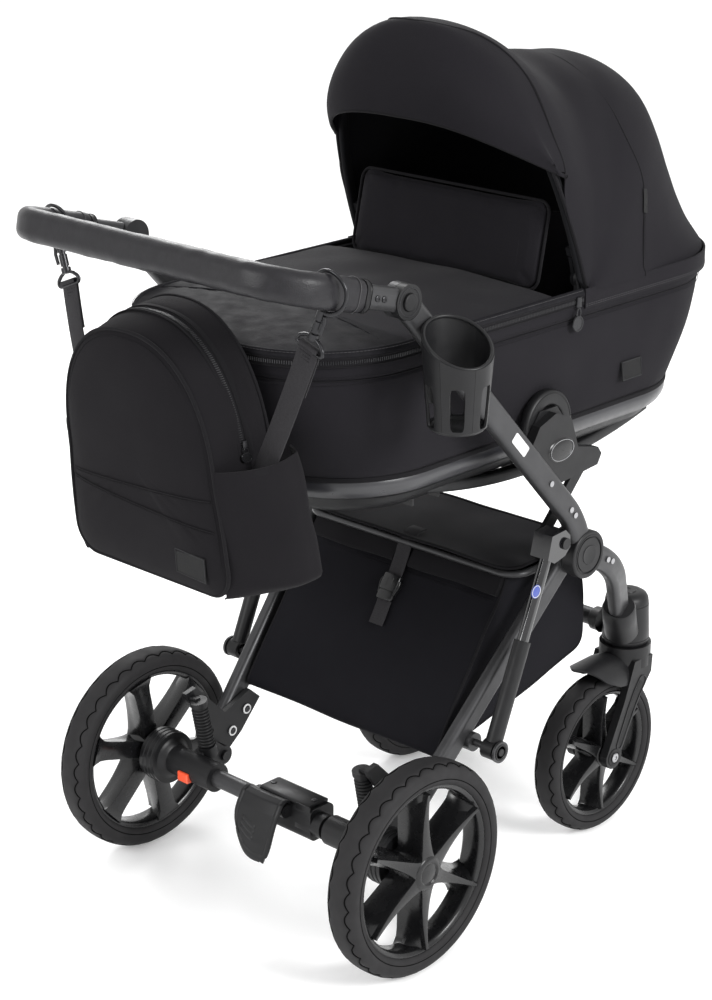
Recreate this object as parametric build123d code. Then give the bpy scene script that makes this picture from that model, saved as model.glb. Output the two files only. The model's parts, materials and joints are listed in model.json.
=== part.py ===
from build123d import *
import os
from math import atan2, degrees, hypot

# Baby stroller with carrycot. Millimetres. +X is the pusher's right, +Y is forward, +Z is up.
# The origin is on the floor, in the middle plane, below the seat hinge area.

# ---------------------------------------------------------------- driving dimensions
REAR_WHEEL_R, REAR_TYRE_W, REAR_TYRE_T = 148, 46, 30
REAR_X, REAR_Y, REAR_Z = 262, -290, 148
FRONT_WHEEL_R, FRONT_TYRE_W, FRONT_TYRE_T = 120, 42, 25
FRONT_X, FRONT_Y, FRONT_Z = 180, 192, 120
AXLE_PIN_R = 6
RUNNING_GAP = 0.06
PART_GAP = 0.5

TUBE_X0, TUBE_X1 = 235, 256                 # inner and outer face of the side frame
TUBE_X = (TUBE_X0 + TUBE_X1) / 2
TUBE_DEPTH, TUBE_WALL = 35, 2
HANDLE_HINGE = (-303, 908)                  # (y, z) of the handle joint
TUBE_BEND = (40, 540)
MAIN_HINGE = (62, 484)                      # (y, z) of the fold joint
LEG_BEND, LEG_FOOT = (TUBE_X, 135, 452), (205, 205, 345)

JOINT_R = 22
JOINT_SPLIT_X = 244
MAIN_HINGE_R, MAIN_HINGE_X1 = 34, 258
PIN_HEAD_X0, PIN_HEAD_X1, PIN_HEAD_R = 205, 211, 13

HANDLE_END = (-502, 962)                    # (y, z) of the cross bar of the handle
HANDLE_CORNER_R = 60
GRIP_START = 80                             # distance along the arm from the joint
HOOK_Y, HOOK_Z = -428, 893                  # axis that the bag hangs on
HOOK_X, HOOK_BAR_Z = TUBE_X, 942
STRAP_FOOT = (158, -457, 723)

REAR_LEG_TOP_X, REAR_LEG_FOOT = 224, (190, -205, 187)
REAR_LEG_W, REAR_LEG_D = 20, 32
STRUT_PIN = (-120, 253)                     # (y, z) of the lower pin of the strut
STRUT_HINGE = (9, 515)
STRUT_TOP, STRUT_SLEEVE_TOP = (-6, 521), (-61, 392)
LINK_TOP = (101, 610)
STRUT_ROD_R, STRUT_SLEEVE_R = 8, 11.5
STRUT_PIN_SLACK = 4

SUSPENSION_PIVOT = (-236, 150)
SPRING_X, SPRING_R = 158, 12
SPRING_FOOT, SPRING_TOP = (-267, 177), (-280, 243)
HOUSING_R, HOUSING_X0, HOUSING_X1 = 21, 112, 206
DRUM_R, DRUM_X1 = 38, 234
AXLE_TUBE_R = 12.5
PEDAL_PIN = (-316, 163)
PEDAL_TIP = (-350, 93)
PEDAL_X0, PEDAL_X1 = -20, 45
BUTTON_X, BUTTON_Z = 159, 141

SWIVEL_Y = 257
FORK_HOUSING_R, FORK_HOUSING_Z0, FORK_HOUSING_Z1 = 46, 276, 366
FORK_CROWN_R, FORK_CROWN_Z0, FORK_CROWN_Z1 = 38, 243, 275.5
FORK_ARM_GAP, FORK_ARM_T = 25, 12

COT_RIM_Z = 835
COT_LEVELS = [(655, 192, -345, 407), (740, 205, -392, 434), (COT_RIM_Z, 214, -410, 457)]
COT_CORNER_R = 150
COT_WALL = 12
BASE_Z0 = 600
ROCKER_R, ROCKER_Y, ROCKER_Z = 940, 55, 583
MATTRESS_Z0, MATTRESS_Z1 = 668, 705
APRON_T, APRON_END_Y = 10, 38
FLAP_X, FLAP_Z1, FLAP_T = 188, 955, 14

HOOD_PIVOT = (100, 852)
BOW_Y0, BOW_Y1, BOW_X, BOW_H = 46, 58, 215, 342
SEAM_Y, DOME_X, DOME_Y, DOME_H = 160, 211, 300, 308
HOOD_T = 6
VISOR_X, VISOR_Y, VISOR_H, VISOR_Z = 208, 92, 172, 1010

BAG_X, BAG_Y0, BAG_Y1, BAG_Z0, BAG_Z1 = 128, -520, -432, 560, 846
POCKET_X1, POCKET_Y1, POCKET_Z1 = 190, -420, 715
CUP_X, CUP_Y, CUP_R, CUP_Z0, CUP_Z1 = 301.5, -250, 43, 740, 872
CUP_BORE_R = 40


# ---------------------------------------------------------------- helpers
def rod_x(x0, x1, y, z, r):
    """A round bar along X."""
    return Pos((x0 + x1) / 2, y, z) * Rot(0, 90, 0) * Cylinder(r, abs(x1 - x0))


def rod(start, end, r):
    """A round bar between two points."""
    a, b = Vector(*start), Vector(*end)
    return Plane(origin=(a + b) * 0.5, z_dir=b - a) * Cylinder(r, (b - a).length)


def block(x0, x1, y0, y1, z0, z1):
    """A box between two corners."""
    size = (x1 - x0, y1 - y0, z1 - z0)
    return Pos((x0 + x1) / 2, (y0 + y1) / 2, (z0 + z1) / 2) * Box(*size)


def plate(points, x0, x1):
    """A flat plate: a (y, z) outline pushed along X."""
    plane = Plane(origin=(x0, 0, 0), x_dir=(0, 1, 0), z_dir=(1, 0, 0))
    return extrude(plane * Polygon(*points, align=None), amount=x1 - x0, dir=(1, 0, 0))


def ring_section(width, depth, wall, corner):
    """The cross-section of a flat oval tube."""
    outer = RectangleRounded(width, depth, corner)
    return outer - RectangleRounded(width - 2 * wall, depth - 2 * wall, corner - wall)


def swept(path, section, x_dir=(1, 0, 0)):
    """A section pushed along a path."""
    start = Plane(origin=path @ 0, x_dir=x_dir, z_dir=path % 0)
    return sweep(start * section, path=path)


def other_side(shape):
    return mirror(shape, about=Plane.YZ)


def tyre(r, thickness, width):
    profile = Pos(0, r - thickness / 2) * RectangleRounded(width, thickness, thickness * 0.42)
    return revolve(profile, Axis.X)


def wheel_rim(r, width, hub_w, hub_r, bore_r):
    """A rim with a hub and six spokes, on the X axis, with a blind bore from its inner side."""
    barrel_t = 6
    barrel = revolve(Pos(0, r - barrel_t / 2) * Rectangle(width, barrel_t), Axis.X)
    shape = barrel + rod_x(-hub_w / 2, hub_w / 2, 0, 0, hub_r)
    foot = Plane.XY.offset(hub_r - 5) * Rectangle(width * 0.75, hub_r)
    head = Plane.XY.offset(r - barrel_t + 1) * Rectangle(width * 0.45, hub_r * 0.72)
    spoke = loft([foot, head])
    for k in range(6):
        shape += Rot(60 * k, 0, 0) * spoke
    cap_t = 8
    return shape - rod_x(-hub_w / 2 - 1, hub_w / 2 - cap_t, 0, 0, bore_r)


def half_ring(rx, rz, t, y0, y1, z0):
    """An arch: an elliptical ring between two y values, kept above z0."""
    plane = Plane(origin=(0, y0, COT_RIM_Z), x_dir=(1, 0, 0), z_dir=(0, 1, 0))
    ring = Ellipse(rx, rz) - Ellipse(rx - t, rz - t)
    arch = extrude(plane * ring, amount=y1 - y0)
    return arch & block(-rx - 1, rx + 1, y0 - 1, y1 + 1, z0, COT_RIM_Z + rz + 1)


def ellipsoid(centre, radii):
    return Pos(*centre) * scale(Sphere(1), by=radii)


def cot_loft(shrink, bottom=None, top=None):
    """The tub shape of the carrycot, its levels shrunk by the wall."""
    faces = []
    for z, half, y0, y1 in COT_LEVELS:
        z = bottom if bottom and z == COT_LEVELS[0][0] else z
        z = top if top and z == COT_RIM_Z else z
        size = (2 * (half - shrink), y1 - y0 - 2 * shrink)
        faces.append(Pos(0, (y0 + y1) / 2, z) * RectangleRounded(*size, COT_CORNER_R))
    return loft(faces)


# ---------------------------------------------------------------- frame
def main_tube():
    path = FilletPolyline(
        (TUBE_X, *HANDLE_HINGE), (TUBE_X, *TUBE_BEND), (TUBE_X, *MAIN_HINGE), radius=150)
    tube = swept(path, ring_section(TUBE_X1 - TUBE_X0, TUBE_DEPTH, TUBE_WALL, 9))
    tube -= rod_x(JOINT_SPLIT_X, TUBE_X1 + 5, *HANDLE_HINGE, JOINT_R + 1.5)
    tube -= rod_x(TUBE_X0 - 5, MAIN_HINGE_X1, *MAIN_HINGE, MAIN_HINGE_R)
    return tube + rod_x(TUBE_X0 - 3, JOINT_SPLIT_X, *HANDLE_HINGE, JOINT_R)


def front_leg_outer(section):
    path = FilletPolyline((TUBE_X, *MAIN_HINGE), LEG_BEND, LEG_FOOT, radius=170)
    return swept(path, section)


def front_leg():
    leg = front_leg_outer(ring_section(TUBE_X1 - TUBE_X0, TUBE_DEPTH, TUBE_WALL, 9))
    return leg - rod_x(TUBE_X0 - 5, MAIN_HINGE_X1, *MAIN_HINGE, MAIN_HINGE_R)


def main_hinge():
    """The round hub of the fold joint, its raised cap, and the pivot pin with its inner head."""
    y, z = MAIN_HINGE
    hub = fillet(rod_x(TUBE_X0, MAIN_HINGE_X1, y, z, MAIN_HINGE_R).edges(), 3)
    hub -= rod_x(MAIN_HINGE_X1 - 1.5, MAIN_HINGE_X1, y, z, 26) - rod_x(
        MAIN_HINGE_X1 - 1.5, MAIN_HINGE_X1, y, z, 24)
    pin = rod_x(PIN_HEAD_X1 - 1, TUBE_X0 + 1, y, z, 8)
    return hub + pin + rod_x(PIN_HEAD_X0, PIN_HEAD_X1, y, z, PIN_HEAD_R)


def fork_housing():
    """The socket on the front leg that holds the swivel, with a raised rear collar."""
    height = FORK_HOUSING_Z1 - FORK_HOUSING_Z0
    centre = Pos(FRONT_X, SWIVEL_Y, (FORK_HOUSING_Z0 + FORK_HOUSING_Z1) / 2)
    body = centre * Cylinder(FORK_HOUSING_R, height)
    body = fillet(body.edges(), 8)
    socket = rod((FRONT_X + 14, 228, 305), (LEG_FOOT[0] + 2, LEG_FOOT[1] - 3, 352), 27)
    body += socket
    return body - front_leg_outer(RectangleRounded(TUBE_X1 - TUBE_X0, TUBE_DEPTH, 9))


def front_crossbar():
    reach = FRONT_X
    bar = rod_x(-reach, reach, SWIVEL_Y - 5, 297, 13)
    housing = fork_housing()
    return bar - housing - other_side(housing)


def adapter_bracket():
    """The plate beside the tube that carries the carrycot, with an upright tongue."""
    outline = [(-52, 634), (-10, 588), (104, 598), (112, 612), (104, 623), (60, 634), (44, 678),
               (12, 692), (-22, 680)]
    shape = plate(outline, 221, TUBE_X0 - PART_GAP)
    tongue = [(-20, 636), (40, 636), (40, 680), (28, 695.5), (-8, 695.5), (-20, 680)]
    shape += plate(tongue, 207, 222)
    return shape + rod_x(TUBE_X0 - 1, TUBE_X0, -20, 604, 9)


def strut_link():
    """The flat link from the bracket to the strut's hinge, with the hinge pin and its screw."""
    a, b = Vector(0, *LINK_TOP), Vector(0, *STRUT_HINGE)
    link_x0, link_x1 = 214, 220.5
    side = (b - a).normalized().cross(Vector(1, 0, 0)) * 9
    corners = [a + side, a - side, b - side, b + side]
    shape = plate([(p.Y, p.Z) for p in corners], link_x0, link_x1)
    shape += rod_x(link_x0, link_x1, *LINK_TOP, 9) + rod_x(link_x0, 226, *STRUT_HINGE, 12)
    shape += rod_x(225, 259, *STRUT_HINGE, 5)
    return shape + rod_x(258, 261, *STRUT_HINGE, 8)


def basket_rail():
    """A rod loop under the lid, held by two short arms on the fold joints' pins."""
    y0, y1, z, x, r = -22, 144, 458, 197, 5
    corners = [(x, y0, z), (-x, y0, z), (-x, y1, z), (x, y1, z)]
    loop = FilletPolyline(*corners, close=True, radius=30)
    section = Plane(origin=loop @ 0, z_dir=loop % 0) * Circle(r)
    rail = sweep(section, path=loop)
    arm = rod((x + 1, MAIN_HINGE[0] - 6, z), (PIN_HEAD_X0 - 1, *MAIN_HINGE), r)
    arm -= rod_x(PIN_HEAD_X0, PIN_HEAD_X1, *MAIN_HINGE, PIN_HEAD_R)
    return rail + arm + other_side(arm)


def basket():
    """An open fabric tub with a sloping rear wall."""
    outline = [(-13, 452), (-165, 232), (-150, 226), (0, 262), (150, 300), (157, 312), (152, 380),
               (136, 452)]
    half, wall = 177, 3
    outer = plate(outline, -half, half)
    inner_outline = [(-8, 460), (-159, 233), (-149, 230), (0, 266), (148, 304), (153, 312),
                     (148, 380), (131, 460)]
    return outer - plate(inner_outline, wall - half, half - wall)


def basket_lid():
    """A thin fabric lid that lies on the rail and opens at the rear."""
    lid = block(-192, 192, -24, 142, 463.5, 469.5)
    return fillet(lid.edges().filter_by(Axis.Z), 25)


def cup_holder():
    """A round cup with four tall windows, bolted to the outer face of the tube."""
    centre = Pos(CUP_X, CUP_Y, (CUP_Z0 + CUP_Z1) / 2)
    floor_t = 4
    cup = centre * Cylinder(CUP_R, CUP_Z1 - CUP_Z0)
    cup -= Pos(CUP_X, CUP_Y, (CUP_Z0 + floor_t + CUP_Z1) / 2) * Cylinder(
        CUP_BORE_R, CUP_Z1 - CUP_Z0 - floor_t)
    for k in range(4):
        window = Pos(CUP_X, CUP_Y, 800) * Rot(0, 0, 45 + 90 * k) * Pos(CUP_R, 0, 0) * Box(16, 30, 66)
        cup -= window
    pad = rod((TUBE_X1 + 0.2, CUP_Y, 805), (262, CUP_Y, 805), 14)
    return cup + (pad - centre * Cylinder(CUP_BORE_R, 200))


def frame_screws():
    """Round screw heads on the outer face of the side frame."""
    spots = [(-22, 607), (22, 559), (31, 549), (107, 464), (117, 459)]
    shape = Part()
    for y, z in spots:
        shape += rod_x(TUBE_X1, TUBE_X1 + 1.5, y, z, 4)
    return shape + other_side(shape)


# ---------------------------------------------------------------- handle and bag
def handle_path(start):
    """The U of the handle, from a distance along the right arm to the same on the left."""
    dy, dz = HANDLE_END[0] - HANDLE_HINGE[0], HANDLE_END[1] - HANDLE_HINGE[1]
    arm = hypot(dy, dz)

    def at(x, u):
        return (x, HANDLE_HINGE[0] + dy * u / arm, HANDLE_HINGE[1] + dz * u / arm)
    corners = [at(TUBE_X, start), at(TUBE_X, arm), at(-TUBE_X, arm), at(-TUBE_X, start)]
    return FilletPolyline(*corners, radius=HANDLE_CORNER_R)


def handle_joint():
    """The outer disc of the handle joint, with a round pocket for its button."""
    disc = rod_x(JOINT_SPLIT_X + PART_GAP, 257, *HANDLE_HINGE, JOINT_R)
    return disc - rod_x(250, 258, *HANDLE_HINGE, 11.5)


def handle_bar():
    bar = swept(handle_path(0), ring_section(20, 30, 2, 9))
    for sign in (1, -1):
        inner = (TUBE_X0 - 8) * sign
        bar -= rod_x(inner, (JOINT_SPLIT_X + PART_GAP) * sign, *HANDLE_HINGE, JOINT_R + 1.5)
        bar -= rod_x((JOINT_SPLIT_X + PART_GAP) * sign, 260 * sign, *HANDLE_HINGE, JOINT_R)
    return bar


def handle_grip():
    """A padded sleeve round the bar, with a collar at each end."""
    hole = RectangleRounded(20.2, 30.2, 9.1)
    grip = swept(handle_path(GRIP_START), RectangleRounded(30, 42, 14.5) - hole)
    dy, dz = HANDLE_END[0] - HANDLE_HINGE[0], HANDLE_END[1] - HANDLE_HINGE[1]
    arm = hypot(dy, dz)
    for sign in (1, -1):
        points = []
        for u in (GRIP_START - 9, GRIP_START - 0.2):
            points.append((sign * TUBE_X, HANDLE_HINGE[0] + dy * u / arm,
                           HANDLE_HINGE[1] + dz * u / arm))
        grip += swept(Line(*points), RectangleRounded(27, 38, 13) - hole)
    return grip


def handle_button():
    return fillet(rod_x(253.5, 260.5, *HANDLE_HINGE, 11).edges().group_by(Axis.X)[-1], 1.5)


def bag_hook():
    """A ring round the grip, a swivel, and a wide eye for the strap."""
    ring_r, wire_r = 26, 3
    shape = Plane(origin=(HOOK_X, HOOK_Y, HOOK_BAR_Z), z_dir=(0, -1, 0)) * Torus(ring_r, wire_r)
    eye_top = HOOK_Z + 13
    shape += rod((HOOK_X, HOOK_Y, eye_top), (HOOK_X, HOOK_Y, HOOK_BAR_Z - ring_r), 5)
    half = 16
    shape += rod_x(HOOK_X - half - 2, HOOK_X + half + 2, HOOK_Y, eye_top, 2.5)
    shape += rod_x(HOOK_X - half - 2, HOOK_X + half + 2, HOOK_Y, HOOK_Z, 2.5)
    for x in (HOOK_X - half, HOOK_X + half):
        shape += rod((x, HOOK_Y, HOOK_Z), (x, HOOK_Y, eye_top), 2.5)
    return shape


def bag_strap():
    """A flat strap from the side of the bag up to its loop in the hook's eye."""
    loop = rod_x(HOOK_X - 12, HOOK_X + 12, HOOK_Y, HOOK_Z, 5.2)
    a, b = Vector(*STRAP_FOOT), Vector(HOOK_X, HOOK_Y, HOOK_Z - 2)
    band = Plane(origin=a, x_dir=(1, 0, 0), z_dir=b - a) * Rectangle(24, 2.4)
    shape = sweep(band, path=Line(a, b)) + loop
    return shape - rod_x(HOOK_X - 20, HOOK_X + 20, HOOK_Y, HOOK_Z, 3.2)


def bag_body():
    """A backpack shape: an arched body with a pocket on each side."""
    arch_r = BAG_X
    plane = Plane(origin=(0, BAG_Y0, 0), x_dir=(1, 0, 0), z_dir=(0, -1, 0))
    lower = Pos(0, (BAG_Z0 + BAG_Z1 - arch_r) / 2) * Rectangle(2 * BAG_X, BAG_Z1 - arch_r - BAG_Z0)
    outline = lower + Pos(0, BAG_Z1 - arch_r) * Circle(arch_r)
    body = extrude(plane * outline, amount=-(BAG_Y1 - BAG_Y0))
    body = fillet(body.edges().group_by(Axis.Y)[0], 14)
    for sign in (1, -1):
        x0, x1 = sorted((sign * (BAG_X - 6), sign * POCKET_X1))
        pocket = block(x0, x1, BAG_Y0 + 8, POCKET_Y1, BAG_Z0 - 6, POCKET_Z1)
        outer_edges = pocket.edges().filter_by(Axis.Z).sort_by(Axis.X)
        body += fillet(outer_edges[-2:] if sign > 0 else outer_edges[:2], 22)
    return body


# ---------------------------------------------------------------- rear legs and struts
def rear_leg():
    """A leaning oval tube from the fold joint, with its disc and the strut's lower pin."""
    y, z = MAIN_HINGE
    path = Line((REAR_LEG_TOP_X, y, z), REAR_LEG_FOOT)
    leg = swept(path, ring_section(REAR_LEG_W, REAR_LEG_D, TUBE_WALL, 8))
    bore = rod_x(200, TUBE_X0, y, z, 8 + RUNNING_GAP)
    leg += rod_x(REAR_LEG_TOP_X - 10, TUBE_X0 - PART_GAP, y, z, MAIN_HINGE_R - 1)
    leg -= bore
    leg += rod_x(193, 216, *STRUT_PIN, 13)
    leg += rod_x(215, 260, *STRUT_PIN, 5)
    return leg + rod_x(258.5, 262, *STRUT_PIN, 15)


def leg_plate():
    """The plate inside the leg's foot: it carries the suspension pivot and the spring's top."""
    outline = [(-148, 208), (-168, 226), (-218, 206), (-272, 262), (-292, 258), (-286, 246),
               (-240, 186), (-252, 150), (-240, 134), (-222, 138), (-186, 166)]
    x0, x1 = 171.5, 179.5
    shape = plate(outline, x0, x1)
    for y, z in ((-176, 198), (-205, 173)):
        shape += rod_x(x0 - 2, x0, y, z, 6)
    shape += rod_x(152, x0 + 1, *SUSPENSION_PIVOT, 5)
    shape += rod_x(149, 153, *SUSPENSION_PIVOT, 8)
    spring_up = Vector(0, SPRING_TOP[0] - SPRING_FOOT[0], SPRING_TOP[1] - SPRING_FOOT[1]).normalized()
    top = Vector(SPRING_X, *SPRING_TOP) + spring_up * 0.3
    shape += rod(tuple(top), tuple(top + spring_up * 7), SPRING_R + 1)
    shape += block(SPRING_X, x0 + 1, SPRING_TOP[0] - 6, SPRING_TOP[0] + 3, 246, 253)
    leg_outer = swept(Line((REAR_LEG_TOP_X, *MAIN_HINGE), REAR_LEG_FOOT),
                      RectangleRounded(REAR_LEG_W, REAR_LEG_D, 8))
    return shape - leg_outer


def suspension_spring():
    """The ribbed rubber sleeve over one spring."""
    foot, top = Vector(SPRING_X, *SPRING_FOOT), Vector(SPRING_X, *SPRING_TOP)
    axis = top - foot
    shape = rod(tuple(foot), tuple(top), SPRING_R - 3)
    ribs = 9
    for k in range(ribs):
        centre = foot + axis * ((k + 0.5) / ribs)
        shape += rod(tuple(centre - axis * 0.03), tuple(centre + axis * 0.03), SPRING_R)
    return shape


def strut_point(z):
    """The (y, z) point on the strut's centre line at a height."""
    (y0, z0), (y1, z1) = STRUT_TOP, STRUT_PIN
    return (y0 + (y1 - y0) * (z - z0) / (z1 - z0), z)


def strut_rod():
    """The glossy rod, with the head block that turns on the hinge pin."""
    x = TUBE_X + 0.5
    rod_foot = strut_point(285)
    shape = rod((x, *strut_point(505)), (x, *rod_foot), STRUT_ROD_R)
    head = [(-18, 532), (10, 534), (20, 524), (21, 508), (10, 497), (-12, 492), (-26, 500)]
    shape += plate(head, 226.5, 257.5)
    return shape - rod_x(220, 262, *STRUT_HINGE, 5 + RUNNING_GAP)


def strut_sleeve():
    """The matt sleeve round the rod, with an open eye for the lower pin."""
    x = TUBE_X + 0.5
    eye_x0, eye_x1 = 236.5, 255.5
    shape = rod((x, *STRUT_SLEEVE_TOP), (x, *strut_point(262)), STRUT_SLEEVE_R)
    shape += rod_x(eye_x0, eye_x1, *STRUT_PIN, 14)
    shape -= rod((x, *strut_point(400)), (x, *strut_point(276)), STRUT_ROD_R + 0.3)
    return shape - rod_x(230, 262, *STRUT_PIN, 5 + STRUT_PIN_SLACK)


# ---------------------------------------------------------------- rear axle
def rear_axle_tube():
    shape = rod_x(-HOUSING_X0 - 40, HOUSING_X0 + 40, REAR_Y, REAR_Z, AXLE_TUBE_R)
    return shape - rod_x(-HOUSING_X0 - 40, HOUSING_X0 + 40, REAR_Y, REAR_Z, AXLE_TUBE_R - 2)


def axle_housing():
    """An end housing with its brake drum, wheel pin, pivot lug and spring seat."""
    shape = rod_x(HOUSING_X0, HOUSING_X1, REAR_Y, REAR_Z, HOUSING_R)
    shape += rod_x(HOUSING_X1 - 1, DRUM_X1, REAR_Y, REAR_Z, DRUM_R)
    lug_x0, lug_x1 = 154, 170.5
    lug = [(REAR_Y + 8, REAR_Z + 18), (SPRING_FOOT[0] + 14, 178), (SUSPENSION_PIVOT[0], 164),
           (SUSPENSION_PIVOT[0], 136), (REAR_Y + 8, REAR_Z - 16)]
    shape += plate(lug, lug_x0, lug_x1) + rod_x(lug_x0, lug_x1, *SUSPENSION_PIVOT, 14)
    shape += rod((SPRING_X, -262, 160), (SPRING_X, SPRING_FOOT[0] + 0.2, SPRING_FOOT[1] - 1), 13)
    shape -= rod_x(lug_x0 - 2, lug_x1 + 2, *SUSPENSION_PIVOT, 5 + RUNNING_GAP)
    shape -= rod_x(HOUSING_X0 - 1, HOUSING_X0 + 40, REAR_Y, REAR_Z, AXLE_TUBE_R)
    shape -= block(BUTTON_X - 10.5, BUTTON_X + 10.5, REAR_Y - 22, REAR_Y - 12, BUTTON_Z - 7.5,
                   BUTTON_Z + 7.5)
    return shape + rod_x(HOUSING_X1, REAR_X + 15, REAR_Y, REAR_Z, AXLE_PIN_R)


def release_button():
    y0 = REAR_Y - 25
    button = block(BUTTON_X - 10, BUTTON_X + 10, y0, y0 + 9, BUTTON_Z - 7, BUTTON_Z + 7)
    return fillet(button.edges().group_by(Axis.Y)[0], 2)


def brake_block():
    """The clamp block round the axle tube, with two lugs for the pedal's pin."""
    shape = block(-18, 88, REAR_Y - 17, REAR_Y + 28, REAR_Z - 22, REAR_Z + 24)
    shape = fillet(shape.edges().filter_by(Axis.X), 9)
    shape += rod_x(86, 104, REAR_Y, REAR_Z, AXLE_TUBE_R + 5) + rod_x(-32, -16, REAR_Y, REAR_Z, 17)
    shape -= rod_x(-40, 110, REAR_Y, REAR_Z, AXLE_TUBE_R)
    for x0, x1 in ((PEDAL_X0 - 7, PEDAL_X0 - 1), (PEDAL_X1 + 1, PEDAL_X1 + 7)):
        shape += rod_x(x0, x1, *PEDAL_PIN, 9)
        shape += block(x0, x1, PEDAL_PIN[0], REAR_Y - 13, PEDAL_PIN[1] - 9, PEDAL_PIN[1] + 7)
    return shape - rod_x(-40, 110, *PEDAL_PIN, 4 + RUNNING_GAP)


def brake_pedal():
    """A curved flap on a pin: it hangs behind the axle and is pressed down by the foot."""
    (y0, z0), (y1, z1) = PEDAL_PIN, PEDAL_TIP
    outline = [(y0 + 5, z0 + 8), (y0 - 5, z0 + 7), (y0 - 19, z0 - 12), (y1 - 6, z1 + 3), (y1, z1),
               (y1 + 5, z1 + 5), (y0 - 5, z0 - 18), (y0 + 4, z0 - 5)]
    flap = plate(outline, PEDAL_X0, PEDAL_X1)
    return flap + rod_x(PEDAL_X0 - 8, PEDAL_X1 + 8, *PEDAL_PIN, 4)


# ---------------------------------------------------------------- wheels and forks
def rear_tyre():
    return Pos(REAR_X, REAR_Y, REAR_Z) * tyre(REAR_WHEEL_R, REAR_TYRE_T, REAR_TYRE_W)


def rear_rim():
    rim = wheel_rim(REAR_WHEEL_R - REAR_TYRE_T, 32, 2 * (REAR_X - DRUM_X1) - 2, 24,
                    AXLE_PIN_R + RUNNING_GAP)
    return Pos(REAR_X, REAR_Y, REAR_Z) * rim


def front_tyre():
    return Pos(FRONT_X, FRONT_Y, FRONT_Z) * tyre(FRONT_WHEEL_R, FRONT_TYRE_T, FRONT_TYRE_W)


def front_rim():
    hub_w = 2 * FORK_ARM_GAP - 2
    rim = wheel_rim(FRONT_WHEEL_R - FRONT_TYRE_T, 28, hub_w, 18, AXLE_PIN_R + RUNNING_GAP)
    rim -= rod_x(-hub_w, hub_w, 0, 0, AXLE_PIN_R + RUNNING_GAP)
    return Pos(FRONT_X, FRONT_Y, FRONT_Z) * rim


def fork():
    """The swivel crown, two arms and the wheel's bolt."""
    height = FORK_CROWN_Z1 - FORK_CROWN_Z0
    crown = Pos(FRONT_X, SWIVEL_Y, (FORK_CROWN_Z0 + FORK_CROWN_Z1) / 2) * Cylinder(
        FORK_CROWN_R, height)
    outline = [(FRONT_Y + 8, FRONT_Z - 16), (FRONT_Y + 18, FRONT_Z + 6), (FRONT_Y + 60, 205),
               (FRONT_Y + 82, 232), (FRONT_Y + 84, 258), (FRONT_Y + 42, 258),
               (FRONT_Y + 20, 200), (FRONT_Y - 18, FRONT_Z + 4), (FRONT_Y - 8, FRONT_Z - 16)]
    shape = crown
    for x0 in (FRONT_X + FORK_ARM_GAP, FRONT_X - FORK_ARM_GAP - FORK_ARM_T):
        arm = plate(outline, x0, x0 + FORK_ARM_T)
        arm += rod_x(x0, x0 + FORK_ARM_T, FRONT_Y, FRONT_Z, 17.8)
        shape += arm
    reach = FORK_ARM_GAP + FORK_ARM_T + 2
    shape += rod_x(FRONT_X - reach, FRONT_X + reach, FRONT_Y, FRONT_Z, AXLE_PIN_R)
    return shape


def mudguard():
    """An arched guard from the crown back over the tyre, cut to a point."""
    y0, y1, z0 = 138, SWIVEL_Y, 228
    plane = Plane(origin=(FRONT_X, y0, z0), x_dir=(1, 0, 0), z_dir=(0, 1, 0))
    arch = extrude(plane * (Ellipse(34, 41) - Ellipse(31, 38)), amount=y1 - y0)
    arch &= block(FRONT_X - 40, FRONT_X + 40, y0, y1, z0, 275)
    cutter = plate([(y0 - 5, z0 - 5), (y0 - 5, 262), (y0 + 60, z0 - 5)], FRONT_X - 50, FRONT_X + 50)
    arch -= cutter
    arch -= fork()
    return arch


# ---------------------------------------------------------------- carrycot and hood
def cot_body():
    floor_t = 10
    tub = cot_loft(0)
    cavity = cot_loft(COT_WALL, bottom=COT_LEVELS[0][0] + floor_t, top=COT_RIM_Z)
    cavity += cavity_lip()
    return tub - cavity


def cavity_lip():
    """The mouth of the tub, run past the rim."""
    _, half, y0, y1 = COT_LEVELS[-1]
    size = (2 * (half - COT_WALL), y1 - y0 - 2 * COT_WALL)
    lip = RectangleRounded(*size, COT_CORNER_R)
    return extrude(Pos(0, (y0 + y1) / 2, COT_RIM_Z - 1) * lip, amount=6)


def cot_base():
    """A plastic tray under the tub, with a curved rocking runner on each side."""
    z1, half, y0, y1 = COT_LEVELS[0]
    z1 -= 0.3
    wall = 4

    def tray(shrink, drop):
        low = Pos(0, (y0 + y1) / 2, BASE_Z0 + drop) * RectangleRounded(
            2 * (half - 40 - shrink), y1 - y0 - 120 - 2 * shrink, 110)
        high = Pos(0, (y0 + y1) / 2, z1) * RectangleRounded(
            2 * (half - shrink), y1 - y0 - 2 * shrink, COT_CORNER_R - shrink)
        return loft([low, high])
    shape = tray(0, 0) - tray(wall, wall)
    disc = rod_x(150, 168, ROCKER_Y, ROCKER_Z + ROCKER_R, ROCKER_R)
    runner = disc & block(150, 168, -262, 300, ROCKER_Z - 1, 628)
    runner -= rod_x(149, 169, ROCKER_Y, ROCKER_Z + ROCKER_R, ROCKER_R - 26)
    runner -= tray(wall, wall)
    return shape + runner + other_side(runner)


def cot_receiver():
    """The arch on the cot's side that drops over the bracket's tongue."""
    outer = [(-45, 644), (-45, 700), (-22, 730), (38, 732), (65, 704), (65, 644), (42, 644),
             (42, 690), (30, 697), (-10, 697), (-22, 690), (-22, 644)]
    shape = plate(outer, 203, 220)
    return shape - cot_loft(-PART_GAP) - cot_base()


def mattress():
    z0, half, y0, y1 = COT_LEVELS[0]
    inset = COT_WALL + 6
    pad = RectangleRounded(2 * (half - inset), y1 - y0 - 2 * inset, COT_CORNER_R - inset)
    pad = extrude(Pos(0, (y0 + y1) / 2, MATTRESS_Z0) * pad, amount=MATTRESS_Z1 - MATTRESS_Z0)
    return fillet(pad.edges(), 6)


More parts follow.
